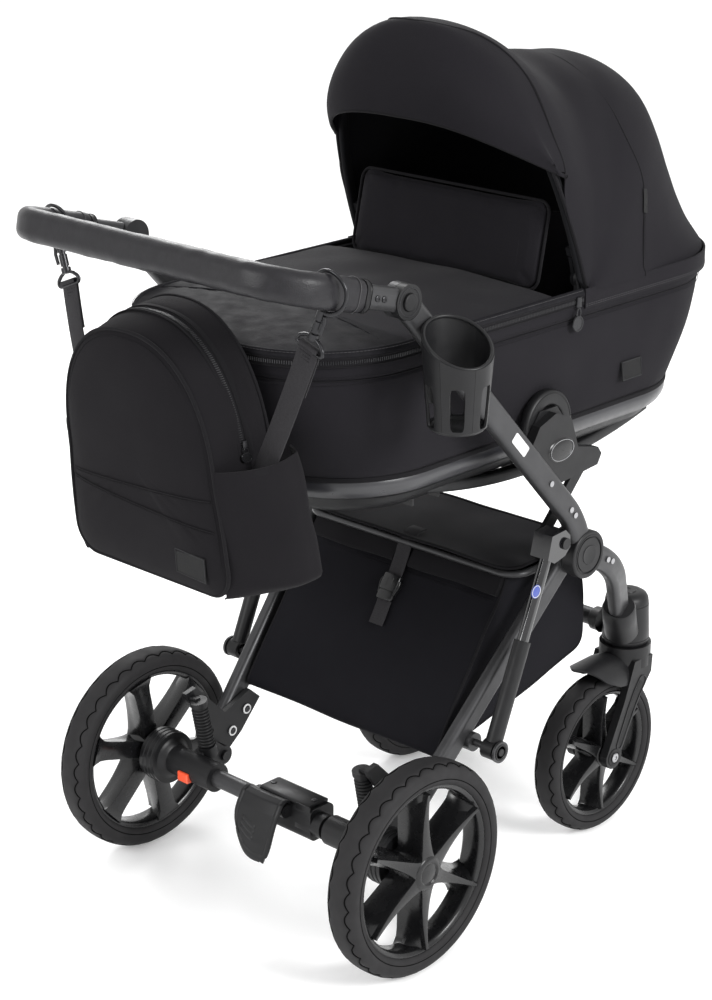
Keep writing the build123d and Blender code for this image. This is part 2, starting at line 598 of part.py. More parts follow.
def apron():
    """The zipped cover over the foot of the tub, with its raised padded flap."""
    _, half, y0, y1 = COT_LEVELS[-1]
    z0 = COT_RIM_Z + 0.3
    lip = Pos(0, (y0 + y1) / 2, z0) * RectangleRounded(2 * half, y1 - y0, COT_CORNER_R)
    cover = extrude(lip, amount=APRON_T)
    cover &= block(-half, half, y0 - 5, APRON_END_Y, z0, z0 + APRON_T)
    flap = block(-FLAP_X, FLAP_X, APRON_END_Y - FLAP_T, APRON_END_Y, z0 + APRON_T - 1, FLAP_Z1)
    top_edges = flap.edges().filter_by(Axis.Y).group_by(Axis.Z)[-1]
    return cover + fillet(top_edges, 20)


def hood_hub():
    """The fixed hub of the hood's hinge, on the inner face of the tub's wall."""
    y, z = HOOD_PIVOT
    shape = block(196, 201.5, y - 12, y + 12, COT_RIM_Z - 34, z) + rod_x(196, 201.5, y, z, 14)
    return shape + rod_x(186, 197, y, z, 5) - cot_body()


def hood_bow():
    """The arch at the hood's mouth, with the arms that turn on the hubs."""
    y, z = HOOD_PIVOT
    shape = half_ring(BOW_X, BOW_H, 10, BOW_Y0, BOW_Y1, z - 4)
    for sign in (1, -1):
        x0, x1 = sorted((sign * 189, sign * 195))
        arm = block(x0, x1, BOW_Y0, y, z - 7, z + 7) + rod_x(x0, x1, y, z, 11)
        w0, w1 = sorted((sign * 189, sign * 207))
        arm += block(w0, w1, BOW_Y0, BOW_Y1, z - 4, z + 8)
        shape += arm - rod_x(x0 - 2, x1 + 2, y, z, 5 + RUNNING_GAP)
    return shape


def visor():
    """The peak of the hood: a cap that comes forward of the bow and turns down."""
    centre = (0, BOW_Y0 - 0.3, VISOR_Z)
    outer = ellipsoid(centre, (VISOR_X, VISOR_Y, VISOR_H))
    inner = ellipsoid(centre, (VISOR_X - 5, VISOR_Y - 5, VISOR_H - 5))
    shell = outer - inner
    keep = [(BOW_Y0 - 0.3, VISOR_Z), (BOW_Y0 - 0.3, 1200), (-60, 1200), (-60, 1064)]
    return shell & plate(keep, -220, 220)


def hood_fabric():
    """The middle fabric of the hood, between the bow and the rear dome. It folds."""
    y0, y1 = BOW_Y1 + PART_GAP, SEAM_Y - PART_GAP

    def arch(t):
        faces = []
        for y, rx, rz in ((y0, BOW_X - 1, BOW_H - 3), (y1, DOME_X + 1, DOME_H + 1)):
            plane = Plane(origin=(0, y, COT_RIM_Z), x_dir=(1, 0, 0), z_dir=(0, 1, 0))
            faces.append(plane * Ellipse(rx - t, rz - t))
        return loft(faces)
    shell = arch(0) - arch(HOOD_T)
    return shell & block(-230, 230, y0 - 5, y1 + 5, COT_RIM_Z + 0.5, 1300)


def hood_rear():
    """The rear dome of the hood, fixed to the rim at the head end."""
    centre = (0, SEAM_Y, COT_RIM_Z)
    outer = ellipsoid(centre, (DOME_X, DOME_Y, DOME_H))
    inner = ellipsoid(centre, (DOME_X - HOOD_T, DOME_Y - HOOD_T, DOME_H - HOOD_T))
    return (outer - inner) & block(-230, 230, SEAM_Y, 600, COT_RIM_Z + 0.5, 1300)


# ---------------------------------------------------------------- the nodes
SINGLE = [front_crossbar, basket_rail, basket, basket_lid, cup_holder, frame_screws, handle_bar,
          handle_grip, bag_body, rear_axle_tube, brake_block, brake_pedal, cot_body, cot_base,
          mattress, apron, hood_bow, visor, hood_fabric, hood_rear]
BOTH_SIDES = [main_tube, front_leg, fork_housing, handle_button, rear_leg, strut_rod,
              strut_sleeve, axle_housing, release_button, rear_tyre, rear_rim, front_tyre,
              front_rim, fork, mudguard]
PAIRED = [main_hinge, adapter_bracket, strut_link, handle_joint, bag_hook, bag_strap, leg_plate,
          suspension_spring, cot_receiver, hood_hub]


def write(name, shape):
    export_step(shape, os.path.join("parts", name + ".step"))


def build():
    os.makedirs("parts", exist_ok=True)
    for make in SINGLE:
        write(make.__name__, make())
    for make in BOTH_SIDES:
        right = make()
        write(make.__name__ + "_right", right)
        write(make.__name__ + "_left", other_side(right))
    for make in PAIRED:
        right = make()
        write(make.__name__ + "s", right + other_side(right))


build()
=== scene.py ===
import bpy
import json
import math
import numpy as np
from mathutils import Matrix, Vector, noise

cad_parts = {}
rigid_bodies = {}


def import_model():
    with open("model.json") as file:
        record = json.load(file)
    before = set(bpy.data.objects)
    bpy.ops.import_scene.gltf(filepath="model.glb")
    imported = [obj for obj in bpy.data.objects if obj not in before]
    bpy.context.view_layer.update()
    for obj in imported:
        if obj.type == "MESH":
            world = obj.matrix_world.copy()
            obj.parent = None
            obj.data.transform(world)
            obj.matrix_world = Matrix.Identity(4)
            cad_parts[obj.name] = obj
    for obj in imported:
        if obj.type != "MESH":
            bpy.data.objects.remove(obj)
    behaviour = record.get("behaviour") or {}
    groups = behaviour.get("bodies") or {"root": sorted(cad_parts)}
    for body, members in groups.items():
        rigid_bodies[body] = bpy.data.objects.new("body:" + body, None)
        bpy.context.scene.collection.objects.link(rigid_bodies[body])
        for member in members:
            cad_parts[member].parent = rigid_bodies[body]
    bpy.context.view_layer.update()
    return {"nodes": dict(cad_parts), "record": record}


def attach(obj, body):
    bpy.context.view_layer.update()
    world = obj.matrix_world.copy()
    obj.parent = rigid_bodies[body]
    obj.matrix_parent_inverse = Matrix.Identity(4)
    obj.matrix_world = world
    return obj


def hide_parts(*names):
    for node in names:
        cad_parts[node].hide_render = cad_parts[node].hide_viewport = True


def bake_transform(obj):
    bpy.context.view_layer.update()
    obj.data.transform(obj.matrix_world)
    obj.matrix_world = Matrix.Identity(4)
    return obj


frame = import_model()
DEG = math.pi / 180
SIDES = ((1, "right"), (-1, "left"))
REAR_WHEEL, FRONT_WHEEL = (262, -290, 148), (180, 192, 120)
MAIN_HINGE, STRUT_PIN, FORK_PIVOT = (0, 62, 484), (0, -120, 253), (180, 257, 0)


# ---------------------------------------------------------------- materials
class Nodes:
    """A small helper that builds one node material on object coordinates."""

    def __init__(self, name):
        self.mat = bpy.data.materials.new(name)
        self.mat.use_nodes = True
        self.tree = self.mat.node_tree
        self.shader = self.tree.nodes["Principled BSDF"]
        self.coord = self.tree.nodes.new("ShaderNodeTexCoord").outputs["Object"]
        self.height = None

    def link(self, a, b):
        self.tree.links.new(a, b)

    def noise(self, scale, detail=3.0, stretch=None):
        node = self.tree.nodes.new("ShaderNodeTexNoise")
        node.inputs["Scale"].default_value = scale
        node.inputs["Detail"].default_value = detail
        self.link(self.stretched(stretch), node.inputs["Vector"])
        return node.outputs["Fac"]

    def stretched(self, stretch):
        if stretch is None:
            return self.coord
        node = self.tree.nodes.new("ShaderNodeMapping")
        node.inputs["Scale"].default_value = stretch
        self.link(self.coord, node.inputs["Vector"])
        return node.outputs["Vector"]

    def math(self, kind, a, b=None):
        node = self.tree.nodes.new("ShaderNodeMath")
        node.operation = kind
        for socket, value in zip(node.inputs, (a, b)):
            if value is None:
                continue
            if isinstance(value, (int, float)):
                socket.default_value = value
            else:
                self.link(value, socket)
        return node.outputs[0]

    def weave(self, pitch):
        """Crossed threads: the product of two sines across the surface."""
        split = self.tree.nodes.new("ShaderNodeSeparateXYZ")
        self.link(self.coord, split.inputs[0])
        k = 2 * math.pi / pitch
        x, y, z = split.outputs
        warp = self.math("SINE", self.math("MULTIPLY", self.math("ADD", x, z), k))
        weft = self.math("SINE", self.math("MULTIPLY", self.math("SUBTRACT", y, z), k))
        return self.math("MULTIPLY_ADD", self.math("MULTIPLY", warp, weft), 0.5)

    def cells(self, scale):
        node = self.tree.nodes.new("ShaderNodeTexVoronoi")
        node.feature = "SMOOTH_F1"
        node.inputs["Scale"].default_value = scale
        self.link(self.coord, node.inputs["Vector"])
        return node.outputs["Distance"]

    def ramp(self, fac, low, high, start=0.3, end=0.7):
        node = self.tree.nodes.new("ShaderNodeValToRGB")
        node.color_ramp.elements[0].position = start
        node.color_ramp.elements[1].position = end
        node.color_ramp.elements[0].color = (*low, 1)
        node.color_ramp.elements[1].color = (*high, 1)
        self.link(fac, node.inputs[0])
        return node.outputs[0]

    def bump(self, height, strength, distance):
        node = self.tree.nodes.new("ShaderNodeBump")
        node.inputs["Strength"].default_value = strength
        node.inputs["Distance"].default_value = distance
        self.link(height, node.inputs["Height"])
        if self.height is not None:
            self.link(self.height, node.inputs["Normal"])
        self.height = node.outputs["Normal"]
        self.link(self.height, self.shader.inputs["Normal"])

    def surface(self, colour, spread, fac, rough, rough_spread, rough_fac):
        low = [c * (1 - spread) for c in colour]
        high = [c * (1 + spread) for c in colour]
        self.link(self.ramp(fac, low, high), self.shader.inputs["Base Color"])
        grey = self.ramp(rough_fac, [rough - rough_spread] * 3, [rough + rough_spread] * 3)
        self.link(grey, self.shader.inputs["Roughness"])

    def set(self, **values):
        for key, value in values.items():
            self.shader.inputs[key.replace("_", " ")].default_value = value
        return self.mat


def cloth(name, colour, sheen, pitch=0.0011, thread=0.35):
    """Matt woven cloth with a little slack between its seams."""
    n = Nodes(name)
    n.surface(colour, 0.14, n.noise(900, 2), 0.86, 0.05, n.noise(14))
    n.bump(n.noise(9, 2), 0.3, 0.004)
    n.bump(n.weave(pitch), thread, 0.0003)
    n.bump(n.noise(1500, 1), 0.2, 0.0002)
    return n.set(Sheen_Weight=sheen, Sheen_Roughness=0.4, Specular_IOR_Level=0.07)


def moulded(name, colour, rough, grain=700, depth=0.12, coat=0.0, metal=0.0, spec=0.5):
    """Plastic, rubber or coated metal, with a fine grain."""
    n = Nodes(name)
    n.surface(colour, 0.1, n.noise(25), rough, 0.06, n.noise(60, 4))
    n.bump(n.noise(grain, 2), depth, 0.0002)
    n.bump(n.noise(12, 1), 0.05, 0.002)
    return n.set(Coat_Weight=coat, Coat_Roughness=0.15, Metallic=metal, Specular_IOR_Level=spec)


def leather(name, colour, scale, rough, spec):
    """Leatherette with a cell grain."""
    n = Nodes(name)
    n.surface(colour, 0.18, n.noise(120), rough, 0.07, n.noise(40))
    n.bump(n.cells(scale), 0.35, 0.0005)
    n.bump(n.noise(scale * 2.2, 2), 0.15, 0.0003)
    return n.set(Specular_IOR_Level=spec)


def ribbed(name, colour, pitch):
    """Coarse weave for webbing and labels."""
    n = Nodes(name)
    n.surface(colour, 0.2, n.noise(600), 0.75, 0.05, n.noise(50))
    n.bump(n.weave(pitch), 0.6, 0.0005)
    return n.set(Sheen_Weight=0.05, Specular_IOR_Level=0.12)


M = {
    "fabric": cloth("cot_cloth", (0.0105, 0.0098, 0.0118), 0.035),
    "fabric_deep": cloth("cot_lining_cloth", (0.006, 0.006, 0.007), 0.03),
    "bag_fabric": cloth("bag_cloth", (0.0082, 0.0076, 0.0088), 0.03, pitch=0.0009),
    "basket_fabric": cloth("basket_cloth", (0.0072, 0.0070, 0.0088), 0.02, pitch=0.0013),
    # the lid cloth is painted lighter than the other cloths, as painted light where it faces up to the light
    "lid_fabric": cloth("lid_cloth_painted_light", (0.015, 0.0145, 0.0165), 0.04, pitch=0.0012),
    "lining": cloth("mattress_knit", (0.11, 0.11, 0.115), 0.3, pitch=0.0018, thread=0.5),
    "piping": cloth("piping_cloth", (0.0085, 0.0081, 0.0092), 0.04, pitch=0.0008),
    "thread": moulded("sewing_thread", (0.022, 0.021, 0.023), 0.6, grain=2500, depth=0.3),
    "tag": ribbed("woven_tag", (0.009, 0.009, 0.0095), 0.0007),
    "tag_edge": ribbed("tag_border", (0.03, 0.03, 0.032), 0.0007),
    "webbing": ribbed("webbing", (0.022, 0.021, 0.023), 0.0022),
    "leatherette": leather("apron_leatherette", (0.0085, 0.0082, 0.0098), 520, 0.72, 0.08),
    "grip": leather("grip_leatherette", (0.0105, 0.0100, 0.0118), 620, 0.42, 0.27),
    "frame": moulded("anodised_tube", (0.046, 0.046, 0.048), 0.40, grain=1400, depth=0.1, metal=0.6,
                     spec=0.4),
    "plastic": moulded("satin_plastic", (0.0075, 0.0075, 0.0082), 0.42, grain=900, depth=0.2, spec=0.26),
    # painted light: a lighter copy of the tray plastic for the base's outward-facing upper band
    "cot_plastic": moulded("base_plastic_painted_light", (0.020, 0.020, 0.023), 0.33, coat=0.1),
    "gloss_rod": moulded("gloss_rod_black", (0.006, 0.006, 0.007), 0.1, depth=0.02, coat=0.6),
    "tyre": moulded("tyre_rubber", (0.0155, 0.0150, 0.0158), 0.7, grain=1100, depth=0.35, spec=0.2),
    # near-black threads laid in the tyres' grooves: painted shade in the recesses
    "groove": moulded("tyre_groove_painted_shade", (0.002, 0.002, 0.002), 0.8, spec=0.05),
    "rim": moulded("rim_gloss", (0.005, 0.005, 0.0055), 0.26, grain=500, depth=0.05, coat=0.12, spec=0.35),
    "rubber": moulded("bellows_rubber", (0.008, 0.008, 0.0085), 0.5, spec=0.2),
    "steel": moulded("rivet_steel", (0.35, 0.35, 0.36), 0.28, metal=1.0),
    "white": moulded("rivet_ring", (0.55, 0.55, 0.55), 0.35),
    "black_steel": moulded("coated_steel", (0.022, 0.022, 0.024), 0.3, metal=0.6),
    "orange": moulded("button_orange", (0.75, 0.085, 0.03), 0.35, coat=0.2),
    "label": moulded("blank_blue_label", (0.02, 0.045, 0.26), 0.35, coat=0.2),
    "zip": moulded("zip_teeth", (0.02, 0.02, 0.022), 0.3, metal=0.3),
}
for node in frame["record"]["subparts"]:
    shown = frame["nodes"][node["node"]]
    shown.data.materials.clear()
    shown.data.materials.append(M[node["material_slot"]])


# ---------------------------------------------------------------- mesh helpers (millimetres)
def curve(x, table):
    """A smooth curve through a table of (x, y) pairs."""
    xs, ys = np.array(table, float).T
    slope = np.gradient(ys, xs)
    i = np.clip(np.searchsorted(xs, x) - 1, 0, len(xs) - 2)
    h = xs[i + 1] - xs[i]
    t = np.clip((x - xs[i]) / h, 0, 1)
    a, b = 2 * t**3 - 3 * t**2 + 1, t**3 - 2 * t**2 + t
    return a * ys[i] + b * h * slope[i] + (1 - a) * ys[i + 1] + (t**3 - t**2) * h * slope[i + 1]


def power(v, n):
    return np.sign(v) * np.abs(v) ** (2 / n)


def grid(points, wrap_rows=False, wrap_cols=False):
    """A surface from an array of points, rows by columns by 3."""
    rows, cols = points.shape[:2]
    faces = []
    for i in range(rows if wrap_rows else rows - 1):
        for j in range(cols if wrap_cols else cols - 1):
            a, b = i * cols, ((i + 1) % rows) * cols
            k = (j + 1) % cols
            faces.append((a + j, a + k, b + k, b + j))
    return points.reshape(-1, 3), faces


def join(*parts):
    verts, faces, count = [], [], 0
    for v, f in parts:
        verts.append(np.asarray(v, float).reshape(-1, 3))
        faces += [tuple(k + count for k in face) for face in f]
        count += len(verts[-1])
    return np.vstack(verts), faces


def mirrored(part):
    v, f = part
    return np.asarray(v) * (-1, 1, 1), [tuple(reversed(face)) for face in f]


def unit(a):
    return a / np.maximum(np.linalg.norm(a, axis=-1, keepdims=True), 1e-9)


def circle(r, n=10):
    a = np.arange(n) * 2 * math.pi / n
    return np.stack([r * np.cos(a), r * np.sin(a)], 1)


def rounded(w, h, r, n=4):
    """A rounded rectangle as a loop of 2-D points."""
    out = []
    for k, (sx, sy) in enumerate(((1, 1), (-1, 1), (-1, -1), (1, -1))):
        for a in np.linspace(0, 90, n + 1) + 90 * k:
            out.append((sx * (w / 2 - r) + r * math.cos(a * DEG), sy * (h / 2 - r) + r * math.sin(a * DEG)))
    return np.array(out)


def sweep(path, profile, normals=None, closed=False, scale=None):
    """A closed 2-D profile pushed along a path: its first axis is sideways, its second along the normal."""
    p = np.asarray(path, float)
    t = np.roll(p, -1, 0) - np.roll(p, 1, 0) if closed else np.gradient(p, axis=0)
    t = unit(t)
    if normals is None:
        n = np.zeros_like(p)
        start = np.array((0, 0, 1.0)) if abs(t[0][2]) < 0.8 else np.array((1.0, 0, 0))
        n[0] = unit(start - t[0] * (start @ t[0]))
        for i in range(1, len(p)):
            n[i] = unit(n[i - 1] - t[i] * (n[i - 1] @ t[i]))
    else:
        n = np.broadcast_to(np.asarray(normals, float), p.shape)
        n = unit(n - t * np.sum(n * t, 1, keepdims=True))
    side = np.cross(t, n)
    prof = np.asarray(profile, float)
    size = np.ones(len(p)) if scale is None else np.asarray(scale)
    pts = (p[:, None] + (side[:, None] * prof[None, :, :1] + n[:, None] * prof[None, :, 1:])
           * size[:, None, None])
    verts, faces = grid(pts, closed, True)
    m = len(prof)
    if not closed:
        faces += [tuple(range(m)), tuple(reversed(range((len(p) - 1) * m, len(p) * m)))]
    return verts, faces


def lathe(profile, centre=(0, 0, 0), n=48, closed=False):
    """A profile of (x, radius) points turned about an axis along X."""
    prof = np.array(profile, float)
    a = np.arange(n) * 2 * math.pi / n
    x = np.broadcast_to(prof[:, 0], (n, len(prof)))
    y, z = np.cos(a)[:, None] * prof[:, 1], np.sin(a)[:, None] * prof[:, 1]
    return grid(np.stack([x, y, z], 2) + np.array(centre), True, closed)


def prism(outline, x0, x1):
    """A (y, z) outline pushed along X."""
    m = len(outline)
    v = [(x0, y, z) for y, z in outline] + [(x1, y, z) for y, z in outline]
    f = [tuple(reversed(range(m))), tuple(range(m, 2 * m))]
    return v, f + [(i, (i + 1) % m, (i + 1) % m + m, i + m) for i in range(m)]


def brick(x0, x1, y0, y1, z0, z1):
    return prism([(y0, z0), (y1, z0), (y1, z1), (y0, z1)], x0, x1)


def spaced(path, step, closed=False):
    """The path again, as points a step apart."""
    p = np.asarray(path, float)
    q = np.vstack([p, p[:1]]) if closed else p
    s = np.concatenate([[0], np.cumsum(np.linalg.norm(np.diff(q, axis=0), axis=1))])
    count = max(2, int(round(s[-1] / step)))
    at = np.linspace(0, s[-1], count + 1)[: count if closed else count + 1]
    return np.stack([np.interp(at, s, q[:, k]) for k in range(q.shape[1])], 1)


def evenly(points, n):
    """The closed outline through some 2-D points, as n points an even distance apart."""
    flat = spaced(np.array(points), 1.0, True)
    at = np.linspace(0, len(flat), n, endpoint=False)
    both = np.vstack([flat, flat[:1]])
    return [np.interp(at, np.arange(len(both)), both[:, k]) for k in (0, 1)]


def stitches(path, normals, length=3.4, gap=1.6, r=0.4, closed=False):
    """A row of stitches: short threads that dip at both ends."""
    both = np.hstack([path, np.broadcast_to(normals, np.shape(path))])
    both = spaced(both, 0.5 * (length + gap) / 2, closed)
    out = []
    for i in range(0, len(both) - 3, 4):
        line, up = both[i:i + 4, :3], both[i:i + 4, 3:]
        line = line + up * np.array([-0.2, 0.3, 0.3, -0.2])[:, None]
        out.append(sweep(line[:3] if gap > length else line, circle(r, 5), up))
    return join(*out)


def surface_frame(fn, u, v, middle, e=1e-3):
    """Points of a surface, and its unit normals turned away from a middle point."""
    p = fn(u, v)
    n = unit(np.cross(fn(u + e, v) - fn(u - e, v), fn(u, v + e) - fn(u, v - e)))
    return p, n * np.sign(np.sum(n * (p - middle), -1, keepdims=True))


def piece(name, part, mat, body, replaces=(), thick=0, bevel=0, angle=38, offset=-1):
    """One mesh object, made in millimetres, riding on a body."""
    v, f = part
    mesh = bpy.data.meshes.new(name)
    mesh.from_pydata((np.asarray(v, float) / 1000).tolist(), [], [tuple(int(k) for k in x) for x in f])
    mesh.materials.append(M[mat])
    ob = bpy.data.objects.new(name, mesh)
    bpy.context.scene.collection.objects.link(ob)
    if thick:
        m = ob.modifiers.new("solid", "SOLIDIFY")
        m.thickness, m.offset = thick / 1000, offset
        m.use_even_offset = False
    if bevel:
        m = ob.modifiers.new("bevel", "BEVEL")
        m.width, m.segments, m.limit_method, m.angle_limit = bevel / 1000, 2, "ANGLE", 30 * DEG
        m.harden_normals = False
    bake(ob)
    ob.data.polygons.foreach_set("use_smooth", [True] * len(ob.data.polygons))
    ob.data.set_sharp_from_angle(angle=angle * DEG)
    if replaces:
        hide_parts(*([replaces] if isinstance(replaces, str) else replaces))
    if body:
        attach(ob, body)
    return ob


def points_of(ob):
    """A mesh object's points, in metres."""
    return np.array([v.co for v in ob.data.vertices])


def move_points(ob, co):
    ob.data.vertices.foreach_set("co", co.astype(np.float32).ravel())
    ob.data.update()


def bake(ob):
    """Applies the modifiers."""
    if ob.modifiers:
        bpy.context.view_layer.update()
        made = bpy.data.meshes.new_from_object(ob.evaluated_get(bpy.context.evaluated_depsgraph_get()))
        ob.modifiers.clear()
        ob.data = made


def crease(p, n, scale, amount, seed=0.0):
    """Points moved along their normals by soft noise."""
    flat = p.reshape(-1, 3)
    d = np.array([noise.noise(Vector(q) * scale + Vector((seed, seed, seed))) for q in flat])
    return p + n * (d * amount).reshape(*p.shape[:-1], 1)


def puff(ob, cap, voxel, pressure):
    """Padding: the closed mesh is blown up a little by Cloth, and no point moves more than cap."""
    m = ob.modifiers.new("remesh", "REMESH")
    m.mode, m.voxel_size, m.use_smooth_shade = "VOXEL", voxel / 1000, True
    bake(ob)
    rest = points_of(ob)
    m = ob.modifiers.new("cloth", "CLOTH")
    m.settings.quality = 4
    m.settings.use_pressure = True
    m.settings.uniform_pressure_force = pressure
    m.settings.effector_weights.gravity = 0
    scene = bpy.context.scene
    for f in range(1, 21):
        scene.frame_set(f)
    bake(ob)
    scene.frame_set(1)
    moved = points_of(ob) - rest
    size = np.linalg.norm(moved, axis=1, keepdims=True)
    moved *= np.minimum(1, cap / 1000 / np.maximum(size, 1e-9))
    move_points(ob, rest + moved)
    m = ob.modifiers.new("sub", "SUBSURF")
    m.levels = m.render_levels = 1
    bake(ob)
    ob.data.polygons.foreach_set("use_smooth", [True] * len(ob.data.polygons))


# ---------------------------------------------------------------- the hood
HUB_Y, HUB_Z = 100, 838
HOOD_MIDDLE = (0, HUB_Y, HUB_Z - 60)
BOW_ANGLE = 109.1
REACH = [(0, 361), (10, 343), (22, 342), (32, 350), (42, 356), (52.6, 337), (61, 312), (68, 300),
         (78, 289), (88, 304), (97, 334), (103, 352), (BOW_ANGLE, 364)]
FULLNESS = [(0, 3.7), (5, 3.1), (12, 2.7), (22, 2.4), (30, 2.25), (50, 2.05), (75, 2.1),
            (BOW_ANGLE, 2.45)]
SIDE_X = [(0, 217), (30, 215), (70, 210), (BOW_ANGLE, 209)]
SEAM = [(0, 108.6), (10, 107), (18, 103.5), (26, 100.8), (36, 99.8), (46, 101), (56, 102.3), (66, 103),
        (72, BOW_ANGLE), (90, BOW_ANGLE)]


def hood_point(phi, psi, grow=0.0):
    """A point of the hood: phi runs over the arch, psi turns about the hubs from the rim to the bow."""
    n = curve(psi, FULLNESS)
    reach = curve(psi, REACH) + grow
    x = (curve(psi, SIDE_X) + grow) * power(np.sin(phi * DEG), n)
    rho = reach * power(np.abs(np.cos(phi * DEG)), n)
    return np.stack([x, HUB_Y + rho * np.cos(psi * DEG), HUB_Z + rho * np.sin(psi * DEG)], -1)


def on_hood(phi, psi, grow):
    """Points of the hood and their outward normals."""
    return surface_frame(lambda a, b: hood_point(a, b, grow), np.asarray(phi, float),
                         np.asarray(psi, float), HOOD_MIDDLE, 0.05)


def bends(ob):
    """Bakes the object's placement into its mesh."""
    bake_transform(ob)


def make_canopy():
    """The cloth from the rear rim to the bow, its lining, its rear seam and the seam's two tags."""
    phi, share = np.meshgrid(np.linspace(-89.6, 89.6, 121), np.linspace(0, 1, 64))
    p, n = on_hood(phi, share * curve(np.abs(phi), SEAM), 0)
    arch, turn = phi[..., None], BOW_ANGLE * share[..., None]
    hang = np.cos(arch * DEG) ** 2 * np.sin(np.clip((turn - 20) / 70, 0, 1) * math.pi)
    p = crease(p, n, 0.010, 2.2) + n * hang
    canopy = piece("hood_canopy", grid(p), "fabric", None, ("hood_fabric", "hood_rear"),
                   thick=2.2, angle=60)
    bends(canopy)
    phi, psi = np.meshgrid(np.linspace(-88.5, 88.5, 61), np.linspace(0, BOW_ANGLE - 2, 40))
    inner, m = on_hood(phi, psi, -7)
    inner = crease(inner, m, 0.012, 3.0, 5)
    bends(piece("hood_lining", grid(inner), "fabric_deep", None, thick=1, angle=60))
    # the rear seam, from the rim over the top, with its turned edge and a row of stitches
    table = [(-84, -2), (-77.7, 9), (-67.6, 30), (-61, 39), (-52.5, 50), (-35, 59), (0, 63),
             (35, 59), (52.5, 50), (61, 39), (67.6, 30), (77.7, 9), (84, -2)]
    phi = np.linspace(-83, 83, 130)
    psi = curve(phi, table)
    seam, up = on_hood(phi, psi, 2.0)
    parts = [sweep(seam, circle(1.5, 8), up)]
    row, up2 = on_hood(phi, psi - 2.0, 1.6)
    parts.append(stitches(row, up2))
    bends(piece("hood_rear_seam", join(*parts), "piping", None))
    for side in (1, -1):
        phi = np.linspace(61.5, 66.5, 8)
        strip, up = on_hood(side * phi, curve(phi, table), 4.2)
        label = sweep(strip, rounded(10, 0.8, 0.3, 1), up)
        bends(piece(f"hood_seam_tag_{'rl'[side < 0]}", label, "tag", None))
    return canopy


FOLD = 0.14


def visor_point(s, t, grow=0.0):
    """The peak: t runs from the bow seam to the hem, s from side to side, both within 1."""
    phi = s * 66
    turn = curve(np.abs(phi), SEAM)
    over, t = np.clip(t / FOLD, 0, 1), np.clip((t - FOLD) / (1 - FOLD), 0, 1)
    top = hood_point(phi, turn + (BOW_ANGLE - turn) * over)
    across = np.sin(s * math.pi / 2)
    a = np.abs(across)
    hem = np.stack([205.5 * across, -49 + 104 * a**3.6, 1064 - 68 * a**3.0], -1)
    t = t[..., None]
    wide = np.maximum(np.cos(s * math.pi / 2), 0)[..., None]
    belly = 4 * t * (1 - t) * wide**0.6 * np.array((0, -15.0, 5.0))
    side = 4 * t * (1 - t) * (1 - wide) * np.stack([3 * np.sign(across), -6 + 0 * a, 0 * a], -1)
    out = top * (1 - t) + hem * t + belly + side
    return out + grow * unit(out - (0, 60, 1000))


def visor_frame(s, t, grow=0.0):
    return surface_frame(lambda a, b: visor_point(a, b, grow), s, t, (0, 90, 990))


def make_visor():
    """The peak in front of the bow, with its lining, hem, stitches and seam cord."""
    s, t = np.meshgrid(np.linspace(-1, 1, 81), np.linspace(0, 1, 30))
    p, n = visor_frame(s, t)
    for _ in range(7):
        p[1:-1] = (p[:-2] + 2 * p[1:-1] + p[2:]) / 4
    p = crease(p, n, 0.011, 1.6, 3)
    visor = piece("hood_visor", grid(p), "fabric", "hood_front", "visor", thick=2.4, angle=60)
    inner = visor_point(s, t * 0.97 + 0.01, -4)
    piece("visor_lining", grid(inner), "fabric_deep", "hood_front", angle=60)
    line = np.linspace(-1, 1, 140)
    parts = []
    hem, up = visor_frame(line, np.full(140, 1.0))
    parts.append(sweep(hem, rounded(5, 5.5, 2.4, 3), up))
    for row in (0.93, 0.965):
        q, up = visor_frame(line, np.full(140, row), 0.2)
        parts.append(stitches(q, up, r=0.35))
    seam, up = visor_frame(line, np.full(140, 0.004), 2.0)
    parts.append(sweep(seam, circle(1.9, 8), up))
    trim = piece("visor_trim", join(*parts), "piping", "hood_front")
    return visor, trim


BOW_PIVOT = np.array((100.0, 852.0))


def make_bow():
    """The bow's cloth cover, an arm, a hub and a stop on each side, and the piping by the hubs."""
    phi = np.linspace(-90, 90, 120)
    p, up = on_hood(phi, np.full(120, BOW_ANGLE - 1.0), -6 - 5 * np.cos(phi * DEG) ** 2)
    parts = [sweep(p, rounded(15, 9, 4, 3), up)]
    tilt = np.array((math.cos(BOW_ANGLE * DEG), math.sin(BOW_ANGLE * DEG)))
    w = np.array((tilt[1], -tilt[0])) * 8
    a, b = BOW_PIVOT, BOW_PIVOT + tilt * 34
    lift = b + tilt * 3
    for side in (1, -1):
        x0, x1 = sorted((side * 189, side * 195))
        parts.append(prism([a - w, a + w, b + w * 0.8, b - w * 0.8], x0, x1))
        parts.append(lathe([(x0, 0), (x0, 12), (x1, 12), (x1, 10), (x1 + 1.5 * side, 8),
                            (x1 + 1.5 * side, 0)], (0, *BOW_PIVOT), 28))
        parts.append(prism([lift - w, lift + w, lift + w + tilt * 12, lift - w + tilt * 12],
                           *sorted((side * 189, side * 207))))
    piece("hood_bow_cover", join(*parts), "fabric_deep", "hood_front", "hood_bow", angle=50)
    parts = []
    for low, high in ((-90, -65), (65, 90)):
        line, up = on_hood(np.linspace(low, high, 40), np.full(40, BOW_ANGLE + 0.8), 0)
        parts.append(sweep(line, circle(2.6, 8), up))
    piece("hood_mouth_piping", join(*parts), "piping", "hood_front")


canopy = make_canopy()
visor, visor_trim = make_visor()
make_bow()


# ---------------------------------------------------------------- the tub
TUB_FOOT, SIDE_SEAM, RIM = 655, 803, 835
LEVELS = [(TUB_FOOT, 192, -345, 407), (740, 205, -392, 434), (RIM, 214, -410, 457)]
CORNER = 150
RING = 220


